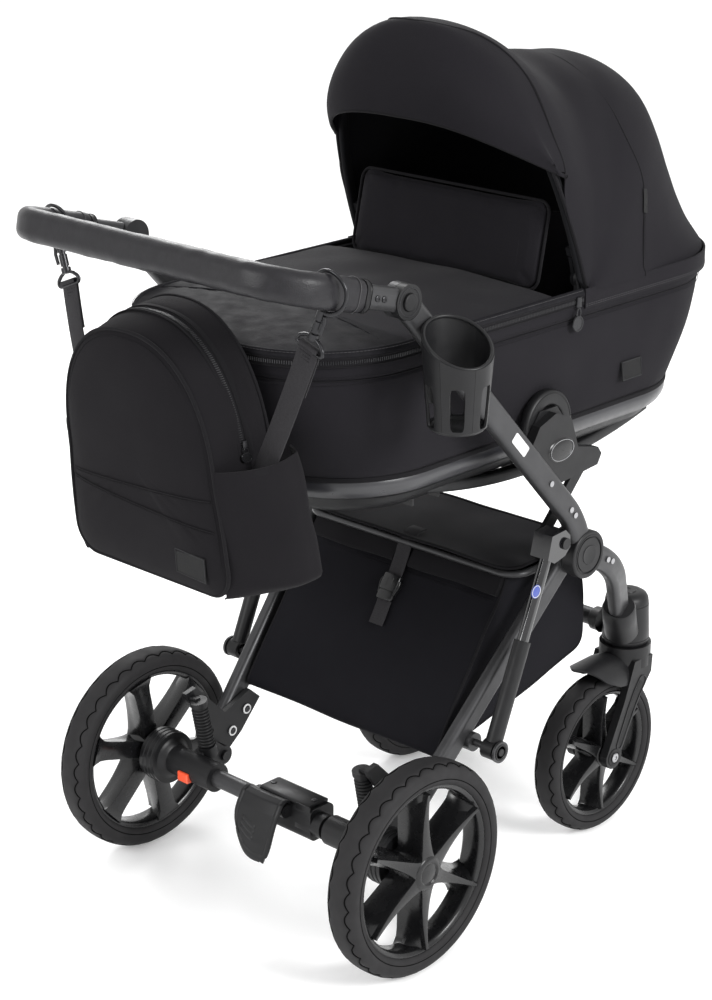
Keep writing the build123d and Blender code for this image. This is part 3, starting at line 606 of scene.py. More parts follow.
def ring(z, inset=0.0, n=RING):
    """The tub's outline at a height, as n evenly spaced points from the middle of the foot end."""
    half, y0, y1 = (curve(float(z), [(level[0], level[k]) for level in LEVELS]) for k in (1, 2, 3))
    half, y0, y1, r = half - inset, y0 + inset, y1 - inset, max(CORNER - inset, 8)
    r = min(r, half - 1)
    pts = [(0, y0)]
    for cx, cy, start in ((half - r, y0 + r, -90), (half - r, y1 - r, 0), (r - half, y1 - r, 90),
                          (r - half, y0 + r, 180)):
        for a in np.linspace(start, start + 90, 24):
            pts.append((cx + r * math.cos(a * DEG), cy + r * math.sin(a * DEG)))
    return np.column_stack([*evenly(pts, n), np.full(n, float(z))])


def ring_at(z, shape_z, inset=0.0):
    """The tub's outline of one height, placed at another."""
    r = ring(shape_z, inset)
    r[:, 2] = z
    return r


def out_from(r):
    """Level outward directions of a ring."""
    t = np.roll(r, -1, 0) - np.roll(r, 1, 0)
    return unit(np.stack([t[:, 1], -t[:, 0], 0 * t[:, 0]], 1))


def around(z, grow=0.0):
    """A line round the tub, with its outward directions."""
    r = ring(z)
    d = out_from(r)
    return r + d * grow, d


def part_of(line, d, keep, back):
    """The kept points of a closed line round the tub, put in order from one end to the other."""
    line, d = line[keep], d[keep]
    order = np.argsort(np.arctan2(line[:, 0], back(line[:, 1])))
    return line[order], d[order]


def capped(rows):
    """Rings stacked into a closed shell, its two ends closed flat."""
    v, f = grid(np.array(rows), False, True)
    n = len(rows[0])
    last = (len(rows) - 1) * n
    return v, f + [tuple(reversed(range(n))), tuple(range(last, last + n))]


def make_tub():
    """The cot's cloth wall with its seams, and the hood's hem pulled down over its rim."""
    rows = []
    for z in np.concatenate([np.linspace(652, 700, 8), np.linspace(710, 796, 10), [800, 802, 804, 806],
                             np.linspace(811, 833, 6)]):
        r = ring_at(z, max(z, TUB_FOOT))
        d = out_from(r)
        fill = math.sin(math.pi * np.clip((z - TUB_FOOT) / (SIDE_SEAM - TUB_FOOT), 0, 1)) ** 0.7
        over = math.sin(math.pi * np.clip((z - SIDE_SEAM) / (836 - SIDE_SEAM), 0, 1))
        cut = -1.6 * math.exp(-((z - SIDE_SEAM) / 2.2) ** 2)
        low = -5 * max(0, (662 - z) / 10)
        r = r + d * (2.6 * fill + 1.4 * over + cut + low)
        rows.append(crease(r, d, 0.014, 2.4 if 665 < z < 795 else 0.6, 2))
    for inset, z in ((1, 835.5), (3, 836.2), (8, 836.2), (11, 835), (12, 830)):
        rows.append(ring_at(z, RIM, inset))
    for z in (790, 740, 690, 672, 669.5):
        r = ring(z, 13)
        rows.append(crease(r, out_from(r), 0.02, 1.5, 8))
    piece("cot_shell", capped(rows), "fabric", "carrycot", "cot_body", angle=55)
    # the seam round the side, its stitches, and the bound lower edge
    parts = []
    line, d = around(SIDE_SEAM, -0.4)
    parts.append(sweep(line, circle(0.9, 6), d, True))
    for z in (SIDE_SEAM - 4.5, SIDE_SEAM + 4.5):
        line, d = around(z, 2.0)
        parts.append(stitches(line, d, r=0.33, closed=True))
    line, d = around(657, 0.8)
    parts.append(sweep(line, rounded(7, 3, 1.4, 3), d, True))
    piece("cot_seams", join(*parts), "piping", "carrycot")
    # the hood's hem, pulled over the outside of the rim round the head end
    line, d = around(829.5, 3.3)
    line, d = part_of(line, d, line[:, 1] > 84, lambda y: y - 60)
    hem = sweep(line, rounded(27, 2.8, 1.3, 3), d)
    piece("hood_hem", hem, "fabric", "carrycot", angle=60)
    parts = [stitches(line + d * 1.2 + (0, 0, z), d) for z in (-10, -7.5)]
    piece("hood_hem_stitches", join(*parts), "thread", "carrycot")


def zip_line(path, up, name, body, pitch=3.0):
    """A closed zip: its tape, a cord along each edge and a row of small teeth."""
    tape = sweep(path, rounded(13, 0.9, 0.4, 1), up)
    cord = [sweep(path + np.cross(unit(np.gradient(path, axis=0)), up) * s * 5.6 + up * 0.5,
                  circle(0.9, 6), up) for s in (1, -1)]
    piece(name + "_tape", join(tape, *cord), "piping", body)
    both = spaced(np.hstack([path, up]), pitch)
    t = unit(np.gradient(both[:, :3], axis=0))
    teeth = []
    for i in range(len(both) - 1):
        p, n = both[i, :3] + both[i, 3:] * 0.7, both[i, 3:]
        s = np.cross(t[i], n) * 2.2
        teeth.append(sweep([p - s, p + s], rounded(1.3, 1.5, 0.5, 1), n))
    piece(name + "_teeth", join(*teeth), "zip", body)


def puller(name, at, body, tilt, face, size):
    """A zip slider with its link and a round tab."""
    at, face, down = np.array(at, float), unit(np.array(face, float)), unit(np.array(tilt, float))
    side = np.cross(face, down)
    slider = sweep([at - down * 5 * size, at + down * 5 * size], rounded(8 * size, 4 * size, 1.5, 3),
                   face, scale=[0.8, 1])
    ring_c = at + down * 11 * size + face * 2
    a = np.linspace(0, 2 * math.pi, 24, endpoint=False)[:, None]
    loop = ring_c + (np.cos(a) * side * 3 + np.sin(a) * down * 5) * size
    link = sweep(loop, circle(0.9 * size, 6), face, True)
    tab_c = at + down * 22 * size + face * 2
    rim = tab_c + (np.cos(a) * side + np.sin(a) * down) * 7.5 * size
    disc = sweep([tab_c - face * 0.6, tab_c + face * 0.8],
                 np.column_stack([np.cos(a[:, 0]), np.sin(a[:, 0])]) * 7.5 * size)
    edge = sweep(rim + face * 0.4, circle(1.1 * size, 6), face, True)
    piece(name, join(slider, link, disc, edge), "black_steel", body, angle=50)


def tag(name, centre, right, up, w, h, body):
    """A blank woven label with a raised border."""
    c, right, up = (np.array(q, float) for q in (centre, right, up))
    right = unit(right)
    up = unit(up - right * (up @ right))
    face = np.cross(right, up)
    u, v = np.meshgrid(np.linspace(-1, 1, 13), np.linspace(-1, 1, 13))
    lift = 1.0 - 0.4 * np.maximum(np.abs(u), np.abs(v)) ** 8
    pts = (c + u[..., None] * right * w / 2 + v[..., None] * up * h / 2 + lift[..., None] * face)
    piece(name, grid(pts), "tag", body, thick=0.8, angle=60)
    loop = [c + right * a + up * b + face * 1.1 for a, b in rounded(w - 2.2, h - 2.2, 1.0, 2)]
    piece(name + "_edge", sweep(loop, circle(0.5, 5), face, True), "tag_edge", body)


RUNNER_R = 940


def make_base():
    """The plastic tray, in two tones that are painted light and shade: an upper band painted lighter where it
    faces out, and a darker lower part with two rocker runners.
    """
    rows = []
    prof = [(3, 654.5), (0, 653), (-1.5, 649), (-1.2, 643), (1, 637), (5, 631), (9, 627.5), (12, 626.5),
            (16, 625.5), (18, 623), (20, 618), (25, 611), (33, 604.5), (46, 601)]
    for inset, z in prof + [(80, 600.3), (130, 600.3)]:
        rows.append(ring_at(z, TUB_FOOT, inset))
    rows = rows[::-1]
    # rows below this split are the tray's underside, kept darker as painted shade; the band above is painted
    # lighter as painted light
    dark = len(rows) - 6
    parts = [capped(rows[:dark + 1])]
    for sx in (1, -1):
        run = []
        for y in np.linspace(-262, 300, 50):
            z = 591 + RUNNER_R - math.sqrt(RUNNER_R**2 - (y - 55) ** 2)
            run.append((sx * 159, y, z))
        parts.append(sweep(run, rounded(18, 16, 4, 3), (0, 0, 1)))
        for y in np.linspace(-180, 220, 9):
            parts.append(brick(*sorted((sx * 128, sx * 154)), y - 2, y + 2, 592, 602))
    parts.append(brick(-140, 140, 15, 95, 594, 601))
    # the underside and runners in the darker plastic as painted shade, the upper band in a lighter copy as
    # painted light
    piece("cot_tray", join(*parts), "plastic", "carrycot", "cot_base", angle=32)
    piece("cot_tray_painted_light_band", capped(rows[dark:]), "cot_plastic", "carrycot", angle=32)


def rim_x(y, inset=0.0):
    """Half the width of the tub's rim at a y."""
    r = ring(RIM, inset, 600)
    r = r[r[:, 0] > 0]
    order = np.argsort(r[:, 1])
    return np.interp(y, r[order, 1], r[order, 0])


def apron_point(u, y):
    """The apron: u runs from side to side within 1, over a low crown."""
    half = rim_x(y, 2.0)
    crown = (1 - np.abs(u) ** 3.2) * np.clip((y + 408) / 60, 0, 1) ** 0.5
    return np.stack([u * half, y, 837.5 + 9.0 * crown], -1)


def over_apron(line, z0):
    """A line's points, set to a height over the apron's crown, and half the rim's width at each."""
    half = rim_x(line[:, 1], 2)
    line[:, 2] = z0 + 9 * (1 - np.abs(line[:, 0] / half) ** 3.2)
    return line, half


APRON_SEAM = 248


def make_apron():
    """The apron: a cloth cover, a leatherette foot panel with ribs, its welt and the zip under it."""
    ys = np.concatenate([np.linspace(-407, -380, 10), np.linspace(-374, 30, 60)])
    u, y = np.meshgrid(np.linspace(-1, 1, 61), ys)
    p = apron_point(u, y)
    n = np.broadcast_to((0, 0, 1.0), p.shape)
    p = crease(p, n, 0.012, 2.2, 4)
    seam = np.exp(-((p[..., 1] + APRON_SEAM + 0.0009 * p[..., 0] ** 2) / 3.0) ** 2)
    p[..., 2] -= 1.5 * seam
    split = int(np.argmin(np.abs(ys + APRON_SEAM)))
    cover = piece("apron_cover", grid(p[split:, ::-1]), "fabric", "carrycot", "apron",
                  thick=3, angle=60)
    foot = piece("apron_foot_panel", grid(p[:split + 1, ::-1]), "leatherette", "carrycot",
                 thick=3, angle=60)
    xs = np.linspace(-205, 205, 120)
    cross, _ = over_apron(np.stack([xs, -APRON_SEAM - 0.0009 * xs**2, 0 * xs], 1), 839.0)
    parts = [sweep(cross, circle(1.7, 8), (0, 0, 1))]
    for k in range(6):
        across = -176 + 26 * k + np.linspace(-6, 6, 30)
        rib, half = over_apron(np.stack([across, np.linspace(-372, -262, 30), np.zeros(30)], 1), 837.8)
        rib = rib[np.abs(rib[:, 0]) < half - 8]
        if len(rib) > 4:
            parts.append(sweep(rib, rounded(4.5, 3.4, 1.5, 3), (0, 0, 1)))
    piece("apron_trim", join(*parts), "leatherette", "carrycot")
    # the bound edge that sits on the rim, round the foot end
    edge, d = around(RIM, 0.5)
    edge, d = part_of(edge, d, edge[:, 1] < 96, lambda y: 150 - y)
    edge = edge + (0, 0, 4)
    d = unit(d + (0, 0, 0.55))
    welt = sweep(edge - d * 3, rounded(11, 7.5, 3.5, 4), d)
    piece("apron_welt", welt, "leatherette", "carrycot")
    line = edge + d * 1.2
    piece("apron_welt_stitches", stitches(line + np.array((0, 0, 1.5)), d), "thread", "carrycot")
    low = edge - (0, 0, 11)
    zip_line(low + d * 1.0, unit(d * (1, 1, 0)), "cot_zip", "carrycot")
    return cover, foot


FLAP_W, FLAP_H, FLAP_LEAN = 338, 116, 0.21
FLAP_MIDDLE = np.array((0, 44, 897))


def make_flap():
    """The wind flap: a thin padded panel that stands at the mouth of the hood, with a piped edge."""
    outline = rounded(FLAP_W, FLAP_H, 16, 8)
    y, z = FLAP_MIDDLE[1:]
    rows = []
    for k, depth in ((0.0, -6.5), (0.5, -6.4), (0.85, -5.6), (0.96, -4), (1.0, -1.5), (1.0, 1.5),
                     (0.96, 4), (0.85, 5.6), (0.5, 6.4), (0.0, 6.5)):
        s = outline * (0.35 + 0.65 * k, max(k, 0.001))
        rows.append(np.stack([s[:, 0], np.full(len(s), depth), s[:, 1]], 1) + FLAP_MIDDLE)
    flap = piece("wind_flap", capped(rows[::-1]), "fabric", None, angle=70)
    puff(flap, 4, 4.5, 3)
    co = points_of(flap)
    co[:, 1] += (co[:, 2] - 0.839) * FLAP_LEAN
    move_points(flap, co)
    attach(flap, "carrycot")
    loop = np.array([(u, y + (v + FLAP_H / 2) * FLAP_LEAN, v + z) for u, v in outline])
    parts = [sweep(loop, circle(2.1, 8), (0, 1, 0), True)]
    line = np.array([(u * 0.965, y - 7.7 + (v * 0.9 + FLAP_H / 2) * FLAP_LEAN, v * 0.9 + z)
                     for u, v in outline])
    parts.append(stitches(line, (0, -1, 0), closed=True))
    piece("wind_flap_piping", join(*parts), "piping", "carrycot")
    tag("wind_flap_tag", (108, 45.5, 886), (1, 0, 0), (0, FLAP_LEAN, 1), 54, 33, "carrycot")
    return flap


def make_mattress():
    rows = []
    for inset, z in ((40, 667.5), (24, 667.5), (19, 671), (17, 678), (17, 694), (19, 701), (25, 705),
                     (45, 707.5), (90, 709), (130, 709.5)):
        rows.append(ring_at(z, TUB_FOOT, inset))
    mattress = piece("mattress_pad", capped(rows), "lining", "carrycot", "mattress", angle=60)
    r = ring_at(686, TUB_FOOT, 17)
    piece("mattress_piping", sweep(r, circle(2.2, 8), out_from(r), True), "lining", "carrycot")
    return mattress


make_tub()
make_base()
apron_cover, apron_foot = make_apron()
flap = make_flap()
mattress = make_mattress()
for s in (1, -1):
    puller(f"cot_zip_puller_{'rl'[s < 0]}", (s * 217.5, 72, 828), "carrycot", (0, -0.1, -1), (s, 0, 0), 1.3)
tag("cot_tag", (207.5, 208, 705), (0, 1, 0), (-0.12, 0, 1), 44, 27, "carrycot")


# ---------------------------------------------------------------- the bag
BAG_MID = 700
BAG_FRONT, BAG_BACK = -508, -436


def bag_ring(y):
    """The bag's outline at a y: an arch on a slightly wider foot with round corners."""
    top = 849 + 0.29 * (y + 520)
    half, foot, bottom, r, n = 129, 135, 562, 30, 150
    pts = []
    for a in np.linspace(0, 180, 61):
        c, q = math.cos(a * DEG), math.sin(a * DEG)
        pts.append((half * math.copysign(abs(c) ** 0.86, c), BAG_MID + (top - BAG_MID) * q**0.9))
    for sx in (-1, 1):
        arc = [(sx * (foot - r) + sx * r * math.cos(a * DEG), bottom + r - r * math.sin(a * DEG))
               for a in np.linspace(0, 90, 10)]
        pts += arc if sx < 0 else arc[::-1]
    x, z = evenly(pts, n)
    belly = 1 + 0.02 * np.sin(np.clip((z - 565) / 130, 0, 1) * math.pi)
    return np.stack([x * belly, np.full(n, float(y)), z], 1)


def bag_out(r):
    """Outward directions of a bag outline."""
    t = np.roll(r, -1, 0) - np.roll(r, 1, 0)
    return unit(np.stack([t[:, 2], 0 * t[:, 0], -t[:, 0]], 1))


def shrunk(r, k, y):
    """A bag outline drawn in towards the middle, and set at a y."""
    c = np.array((0, 0, float(BAG_MID)))
    q = c + (r - c) * k
    q[:, 1] = y
    return q


def bag_fullness(y):
    """How far the bag's side swells out at a y."""
    return 4.5 * math.sin(math.pi * (y - BAG_FRONT) / (BAG_BACK - BAG_FRONT)) ** 0.8


def make_bag():
    """The bag's shell, its piping and pocket seams, its double zip and its blank label."""
    front = bag_ring(BAG_FRONT)
    rows = [shrunk(front, k, y) for k, y in ((0.02, -523), (0.2, -523), (0.4, -522.5), (0.6, -521),
                                             (0.78, -518.5), (0.9, -515), (0.965, -511.5), (0.99, -509.5))]
    for y in np.linspace(BAG_FRONT, BAG_BACK, 17):
        r = bag_ring(y)
        rows.append(r + bag_out(r) * (bag_fullness(y) - 2.2 * math.exp(-((y + 466) / 3.5) ** 2)))
    back = bag_ring(BAG_BACK)
    rows += [shrunk(back, k, y) for k, y in ((0.985, -433.5), (0.9, -432), (0.6, -431), (0.3, -431),
                                             (0.02, -431))]
    p = np.array(rows)
    n = unit(p - (0, -470, BAG_MID))
    sag = np.clip((640 - p[..., 2]) / 80, 0, 1)
    p = crease(p, n, 0.013, 1.8, 6)
    p[..., 1] -= sag * 1.5 * (p[..., 1] < -500)
    fold = np.exp(-((p[..., 2] - 648 + 0.06 * p[..., 0]) / 2.4) ** 2) + 0.6 * np.exp(
        -((p[..., 2] - 671 - 0.05 * p[..., 0]) / 2.0) ** 2)
    p[..., 1] += 1.6 * fold * (p[..., 1] < -505)
    bag = piece("bag_shell", capped(list(p)), "bag_fabric", "bag", "bag_body", angle=60)
    # piping round the front and back panels, and the seams of the lower pocket
    parts = []
    for y, grow, size in ((-509, 0.6, 2.4), (-434.5, 0.4, 2.0)):
        r = bag_ring(y)
        parts.append(sweep(r + bag_out(r) * grow, circle(size, 8), bag_out(r), True))
    r = shrunk(front, 0.955, -512.5)
    parts.append(stitches(r, (0, -1, 0), closed=True))
    xs = np.linspace(-124, 124, 70)
    for z0, tilt, lift in ((648, -0.06, 1.6), (671, 0.05, 1.5)):
        z = z0 + tilt * xs
        rel = np.maximum(np.abs(xs) / 131, np.abs(z - BAG_MID) / 150)
        y = np.interp(rel, [0.2, 0.4, 0.6, 0.78, 0.9, 0.965, 1],
                      [-523, -522.5, -521, -518.5, -515, -511.5, BAG_FRONT])
        line = np.stack([xs, y + 1.0 - lift, z], 1)
        parts.append(stitches(line, (0, -1, 0), r=0.4))
        parts.append(sweep(line + (0, 0, 2.5), circle(0.8, 6), (0, -1, 0)))
    piece("bag_piping", join(*parts), "piping", "bag")
    # the double zip over the arch
    for y, name in ((-471, "bag_zip_front"), (-461.5, "bag_zip_back")):
        r = bag_ring(y)
        d = bag_out(r)
        keep = r[:, 2] > 722
        line, up = (r + d * (bag_fullness(y) - 1.2))[keep], d[keep]
        order = np.argsort(np.arctan2(line[:, 0], line[:, 2] - 640))
        line, up = line[order], up[order]
        if name == "bag_zip_front":
            zip_line(line, up, "bag_zip", "bag", 2.6)
        else:
            piece("bag_zip_flap", sweep(line, rounded(8, 2.2, 1, 2), up), "piping", "bag")
    for s in (1, -1):
        puller(f"bag_zip_puller_{'rl'[s < 0]}", (s * 134.5, -470, 738), "bag", (0, 0, -1), (s, -0.3, 0), 0.7)
    tag("bag_tag", (83, -519.5, 595), (1, 0, -0.05), (0, 0, 1), 52, 31, "bag")
    return bag


def pocket_point(a, b, side):
    """A side pocket: a runs from the front seam to the back, b from the bottom to the mouth."""
    y = -508 + 90 * a - 10 * a * b
    z = 557 + b * (158 + 14 * a)
    wide = (60 - 16 * b * a) * np.sin(np.clip(a / 0.72, 0, 1) * math.pi / 2) ** 0.85
    wide = wide * (1 - 0.45 * np.clip((a - 0.86) / 0.14, 0, 1) ** 2)
    low = np.clip(b / 0.14, 0, 1) ** 0.45
    full = 1 + 0.05 * np.sin(b * math.pi) - 0.05 * b**8
    base = 131 - 6 * (1 - low)
    return np.stack([side * (base + wide * low * full), y, z + 6 * (1 - low)], -1)


def on_pocket(a, b, side):
    """Points of a side pocket and their normals, on the side away from the bag."""
    p, n = surface_frame(lambda u, v: pocket_point(u, v, side), a, b, 0)
    return p, n * np.sign(n[..., :1]) * side


def make_pockets():
    """The open side pockets, with a band and two rows of stitches on each."""
    for side, key in SIDES:
        a, b = np.meshgrid(np.linspace(0, 1, 34), np.linspace(0, 1, 40))
        p, n = on_pocket(a, b, side)
        p = crease(p, n, 0.016, 3.0, 9 + side)
        part = grid(p) if side < 0 else grid(p[:, ::-1])
        piece(f"bag_pocket_{key}", part, "bag_fabric", "bag", thick=2.2, angle=60)
        line = np.linspace(0.02, 0.98, 40)
        q, m = on_pocket(line, np.full(40, 0.97), side)
        band = sweep(q, rounded(9, 2.6, 1.2, 2), m)
        rows = []
        for level in (0.935, 0.06):
            w, k = on_pocket(line, np.full(40, level), side)
            rows.append(stitches(w + k * 0.6, k))
        piece(f"bag_pocket_trim_{key}", join(band, *rows), "piping", "bag")


def settle_bag():
    """The filled bag is deep and tall, and leans in under the cot's foot end."""
    for ob in bpy.context.scene.objects:
        if ob.name.startswith("bag_") and ob.name not in frame["nodes"]:
            co = points_of(ob) * 1000
            y = np.where(co[:, 1] > BAG_FRONT, BAG_FRONT + (co[:, 1] - BAG_FRONT) * 1.32, co[:, 1])
            co[:, 1] = y - 0.12 * (co[:, 2] - 690)
            co[:, 2] = BAG_MID + (co[:, 2] - BAG_MID) * 1.105
            co[:, 0] *= 1.025
            move_points(ob, co / 1000)


HOOK = np.array((245.5, -428, 942.0))
DOWN = unit(np.array((-0.37, -0.06, -0.93)))
ACROSS = unit(np.array((0.93, 0, -0.37)))


def on_hook(across, down, out=0.0):
    """A point on the right snap hook, which leans in towards its strap."""
    return HOOK + ACROSS * across + DOWN * down + np.array((0, -1.0, 0)) * out


def make_straps():
    """Webbing from inside the pocket up to the eye of the snap hook."""
    ends = []
    for side in (1, -1):
        a, b = np.array((152, -450, 702)), on_hook(0, 77)
        t = np.linspace(0, 1, 40)[:, None]
        bow = np.sin(t * math.pi) * np.array((3.0, -2.0, 0))
        path = a + (b - a) * t + bow
        ends.append(sweep(path * (side, 1, 1), rounded(31, 2.0, 0.9, 2), (0.1 * side, -1, 0.1)))
        back = path[26:] + (0.5, 3.4, 0)
        ends.append(sweep(back * (side, 1, 1), rounded(31, 1.8, 0.8, 2), (0.1 * side, -1, 0.1)))
        turn = [(math.cos(q * DEG), math.sin(q * DEG)) for q in np.linspace(-110, 110, 14)]
        loop = np.array([on_hook(0, 76 - 3.6 * c, 4.0 * q) for c, q in turn])
        out = np.array([-DOWN * c - np.array((0, 1.0, 0)) * q for c, q in turn])
        ends.append(sweep(loop * (side, 1, 1), rounded(30, 1.8, 0.8, 2), out * (side, 1, 1)))
        for w in (62, 66, 70):
            row = [on_hook(x, w + 22, 2.2) for x in (-11, 11)]
            ends.append(stitches(np.array(row) * (side, 1, 1), (0, -1, 0)))
    piece("bag_strap_webbing", join(*ends), "webbing", "bag", "bag_straps", angle=55)


def make_hooks():
    """Swivel snap hooks: a ring round the grip, a swivel stem, a lever and a flared strap eye."""
    parts = []
    for side in (1, -1):
        flip = (side, 1, 1)
        a = np.linspace(0, 2 * math.pi, 48, endpoint=False)
        loop = HOOK + np.stack([25.6 * np.cos(a), 2.0 * np.cos(2 * a), 26 * np.sin(a)], 1)
        size = 1 + 0.5 * np.clip(-np.sin(a), 0, 1) ** 4
        parts.append(sweep(loop * flip, rounded(4.6, 4.0, 1.6, 3), (0, 1, 0), True, scale=size))
        for w0, w1, rad in ((24, 36, 6.2), (35, 40, 4.2), (39, 54, 5.6), (53, 57, 4.0), (56, 64, 6.6)):
            parts.append(sweep(np.linspace(on_hook(0, w0), on_hook(0, w1), 3) * flip, circle(rad, 14)))
        eye = [on_hook(x, w) for x, w in ((-5, 62), (5, 62), (13, 65), (20, 70), (22, 75), (19, 78.5),
                                          (-19, 78.5), (-22, 75), (-20, 70), (-13, 65))]
        parts.append(sweep(spaced(np.array(eye), 2.0, True) * flip, circle(2.4, 8), (0, 1, 0), True))
        lever = [on_hook(x, w, 3) for x, w in ((8, 28), (10.5, 36), (9.5, 50))]
        parts.append(sweep(np.array(lever) * flip, rounded(5, 3, 1.2, 2), (0, -1, 0)))
    piece("bag_snap_hooks", join(*parts), "black_steel", "bag", "bag_hooks", angle=50)


bag = make_bag()
make_pockets()
settle_bag()
make_straps()
make_hooks()


# ---------------------------------------------------------------- wheels
def make_tyre(r, thick, width, centre, name, body, waves):
    """A foam tyre: ribbed side wall, a wavy groove along each shoulder and a nicked tread, with near-black
    threads in the grooves as painted shade.
    """
    n = waves * 12
    a = np.arange(n) * 2 * math.pi / n
    half, seat = width / 2, r - thick
    prof = [(-half * 0.70, seat), (-half * 0.84, seat + 1.5), (-half * 0.92, seat + 5),
            (-half * 0.97, seat + 8.2), (-half * 0.945, seat + 9.0), (-half * 0.985, seat + 9.8)]
    top = r - half * 0.62
    for t in np.linspace(0, 90, 16):
        high = top + (r - top) * math.sin(t * DEG) ** 0.9
        prof.append((-half * math.cos(t * DEG) ** 0.75, max(seat + 11, high)))
    prof = np.array(prof)
    prof = np.vstack([prof, prof[-2::-1] * (-1, 1)])
    t = np.gradient(prof, axis=0)
    out = unit(np.stack([-t[:, 1], t[:, 0]], 1))
    s = np.concatenate([[0], np.cumsum(np.linalg.norm(np.diff(prof, axis=0), axis=1))])
    signed = s - s[-1] / 2
    s = np.abs(signed)
    theta = a[:, None]
    wave = 0.66 * half + 4.2 * (1 - np.abs(np.sin(theta * waves / 2)) * 1.5)
    groove = 1.5 * np.exp(-((s[None] - wave) / 1.15) ** 2)
    nick = 0.9 * np.exp(-((s[None] - 0.1 * half) / 1.3) ** 2) * (0.5 + 0.5 * np.cos(theta * waves))
    depth = -(groove + nick) * (s[None] < half * 1.15)
    x = prof[None, :, 0] + out[None, :, 0] * depth
    rad = prof[None, :, 1] + out[None, :, 1] * depth
    p = np.stack([x, rad * np.cos(theta), rad * np.sin(theta)], 2) + np.array(centre)
    piece(name, grid(p, True, True), "tyre", body, name.replace("tyre_tread", "tyre"), angle=70)
    # near-black threads along each shoulder groove and round the side wall's step: painted shade in these
    # recesses
    lines = []
    for o in (-1, 1):
        at = o * wave[:, 0]
        rad, x = np.interp(at, signed, prof[:, 1]) - 0.3, np.interp(at, signed, prof[:, 0]) - o * 0.3
        lines.append(sweep(np.stack([x, rad * np.cos(a), rad * np.sin(a)], 1) + np.array(centre),
                           circle(0.75, 6), closed=True))
        lines.append(lathe([(centre[0] + o * half * 0.955 + q, seat + 9.0 + w) for q, w in circle(0.8, 6)],
                           (0, centre[1], centre[2]), 96, closed=True))
    piece(name.replace("tread", "wave"), join(*lines), "groove", body)


def spoke(r0, r1, outer, inner, x_out, x_in, angle):
    """A deep tapered spoke: a narrow ridge outside that flares to a wide web inside."""
    rows = []
    for t in np.linspace(0, 1, 10):
        rr = r0 + (r1 - r0) * t
        wo = outer[0] + (outer[1] - outer[0]) * t**0.55
        wi = inner[0] + (inner[1] - inner[0]) * t
        flare = 1 + 0.5 * max(0, (t - 0.82) / 0.18) ** 2
        dish = 4.0 * math.sin(math.pi * t) * math.copysign(1, x_out)
        sect = [(x_out - dish, wo / 2), (x_out - dish * 0.8 + (x_in - x_out) * 0.18, wo / 2 + 0.8),
                ((x_out + x_in) / 2, wi * 0.36 * flare), (x_in, wi / 2 * flare),
                (x_in, -wi / 2 * flare), ((x_out + x_in) / 2, -wi * 0.36 * flare),
                (x_out - dish * 0.8 + (x_in - x_out) * 0.18, -wo / 2 - 0.8), (x_out - dish, -wo / 2)]
        rows.append([(x, rr, w) for x, w in sect])
    v, f = grid(np.array(rows), False, True)
    m = len(rows[0])
    f = f + [tuple(range(m)), tuple(reversed(range(9 * m, 10 * m)))]
    c, s = math.cos(angle * DEG), math.sin(angle * DEG)
    return np.stack([v[:, 0], v[:, 1] * c - v[:, 2] * s, v[:, 1] * s + v[:, 2] * c], 1), f


def make_rim(r, width, hub_x, hub_r, centre, name, body, side, turn):
    """A rim with a lipped barrel, six deep spokes and a hub with a recessed cap."""
    h = width / 2
    barrel = [(-h, r), (-h - 1.5, r + 1.5), (-h - 2.2, r - 1), (-h + 0.5, r - 5.5), (-h + 5, r - 7.5),
              (h - 5, r - 7.5), (h - 0.5, r - 5.5), (h + 2.2, r - 1), (h + 1.5, r + 1.5), (h, r)]
    parts = [lathe(barrel, n=96, closed=True)]
    cap = [(-hub_x, 0.1), (-hub_x, hub_r * 0.8), (-hub_x + 2, hub_r), (hub_x - 7, hub_r),
           (hub_x - 3, hub_r * 0.93), (hub_x - 1, hub_r * 0.78), (hub_x - 0.6, hub_r * 0.64),
           (hub_x - 2.2, hub_r * 0.60), (hub_x - 2.4, hub_r * 0.55), (hub_x - 1.2, hub_r * 0.45),
           (hub_x - 1.0, 0.1)]
    parts.append(lathe([(x * side, q) for x, q in cap], n=56))
    for k in range(6):
        parts.append(spoke(hub_r * 0.72, r - 5, (hub_r * 1.0, 4.0), (hub_r * 0.95, hub_r * 1.15),
                           side * (hub_x - 3), -side * (hub_x - 8), 60 * k + turn))
    v, f = join(*parts)
    piece(name, (v + np.array(centre), f), "rim", body, name.replace("wheel_rim", "rim"),
          bevel=0.7, angle=32)


for side, key in SIDES:
    rear, front = (side * REAR_WHEEL[0], *REAR_WHEEL[1:]), (side * FRONT_WHEEL[0], *FRONT_WHEEL[1:])
    make_tyre(148, 30, 46, rear, f"rear_tyre_tread_{key}", f"rear_wheel_{key}", 34)
    make_tyre(120, 25, 42, front, f"front_tyre_tread_{key}", f"front_wheel_{key}", 28)
    make_rim(118, 32, 27, 25, rear, f"rear_wheel_rim_{key}", f"rear_wheel_{key}", side, 96 - 6 * side)
    make_rim(95, 28, 23, 19, front, f"front_wheel_rim_{key}", f"front_wheel_{key}", side, 30)


# ---------------------------------------------------------------- handle
TUBE_X = 245.5
HANDLE_HINGE, HANDLE_END = np.array((-303.0, 908)), np.array((-502.0, 962))
ARM = float(np.linalg.norm(HANDLE_END - HANDLE_HINGE))
ARM_Y, ARM_Z = (HANDLE_END - HANDLE_HINGE) / ARM
ARM_UP = np.array((0, ARM_Z, -ARM_Y))


def on_arm(x, u):
    """A point at a distance u from the hinge, in the plane of the handle."""
    return np.array((x, HANDLE_HINGE[0] + ARM_Y * u, HANDLE_HINGE[1] + ARM_Z * u))


def handle_line(start):
    """The middle line of the U, from a distance along one arm to the same on the other."""
    r = 60
    half = [(TUBE_X, u) for u in np.linspace(start, ARM - r, 26)]
    half += [(TUBE_X - r + r * math.cos(a * DEG), ARM - r + r * math.sin(a * DEG)) for a in
             np.linspace(5, 90, 18)]
    half += [(x, ARM) for x in np.linspace(TUBE_X - r - 8, 0, 24)]
    right = np.array([on_arm(x, u) for x, u in half])
    return np.vstack([right, right[-2::-1] * (-1, 1, 1)])


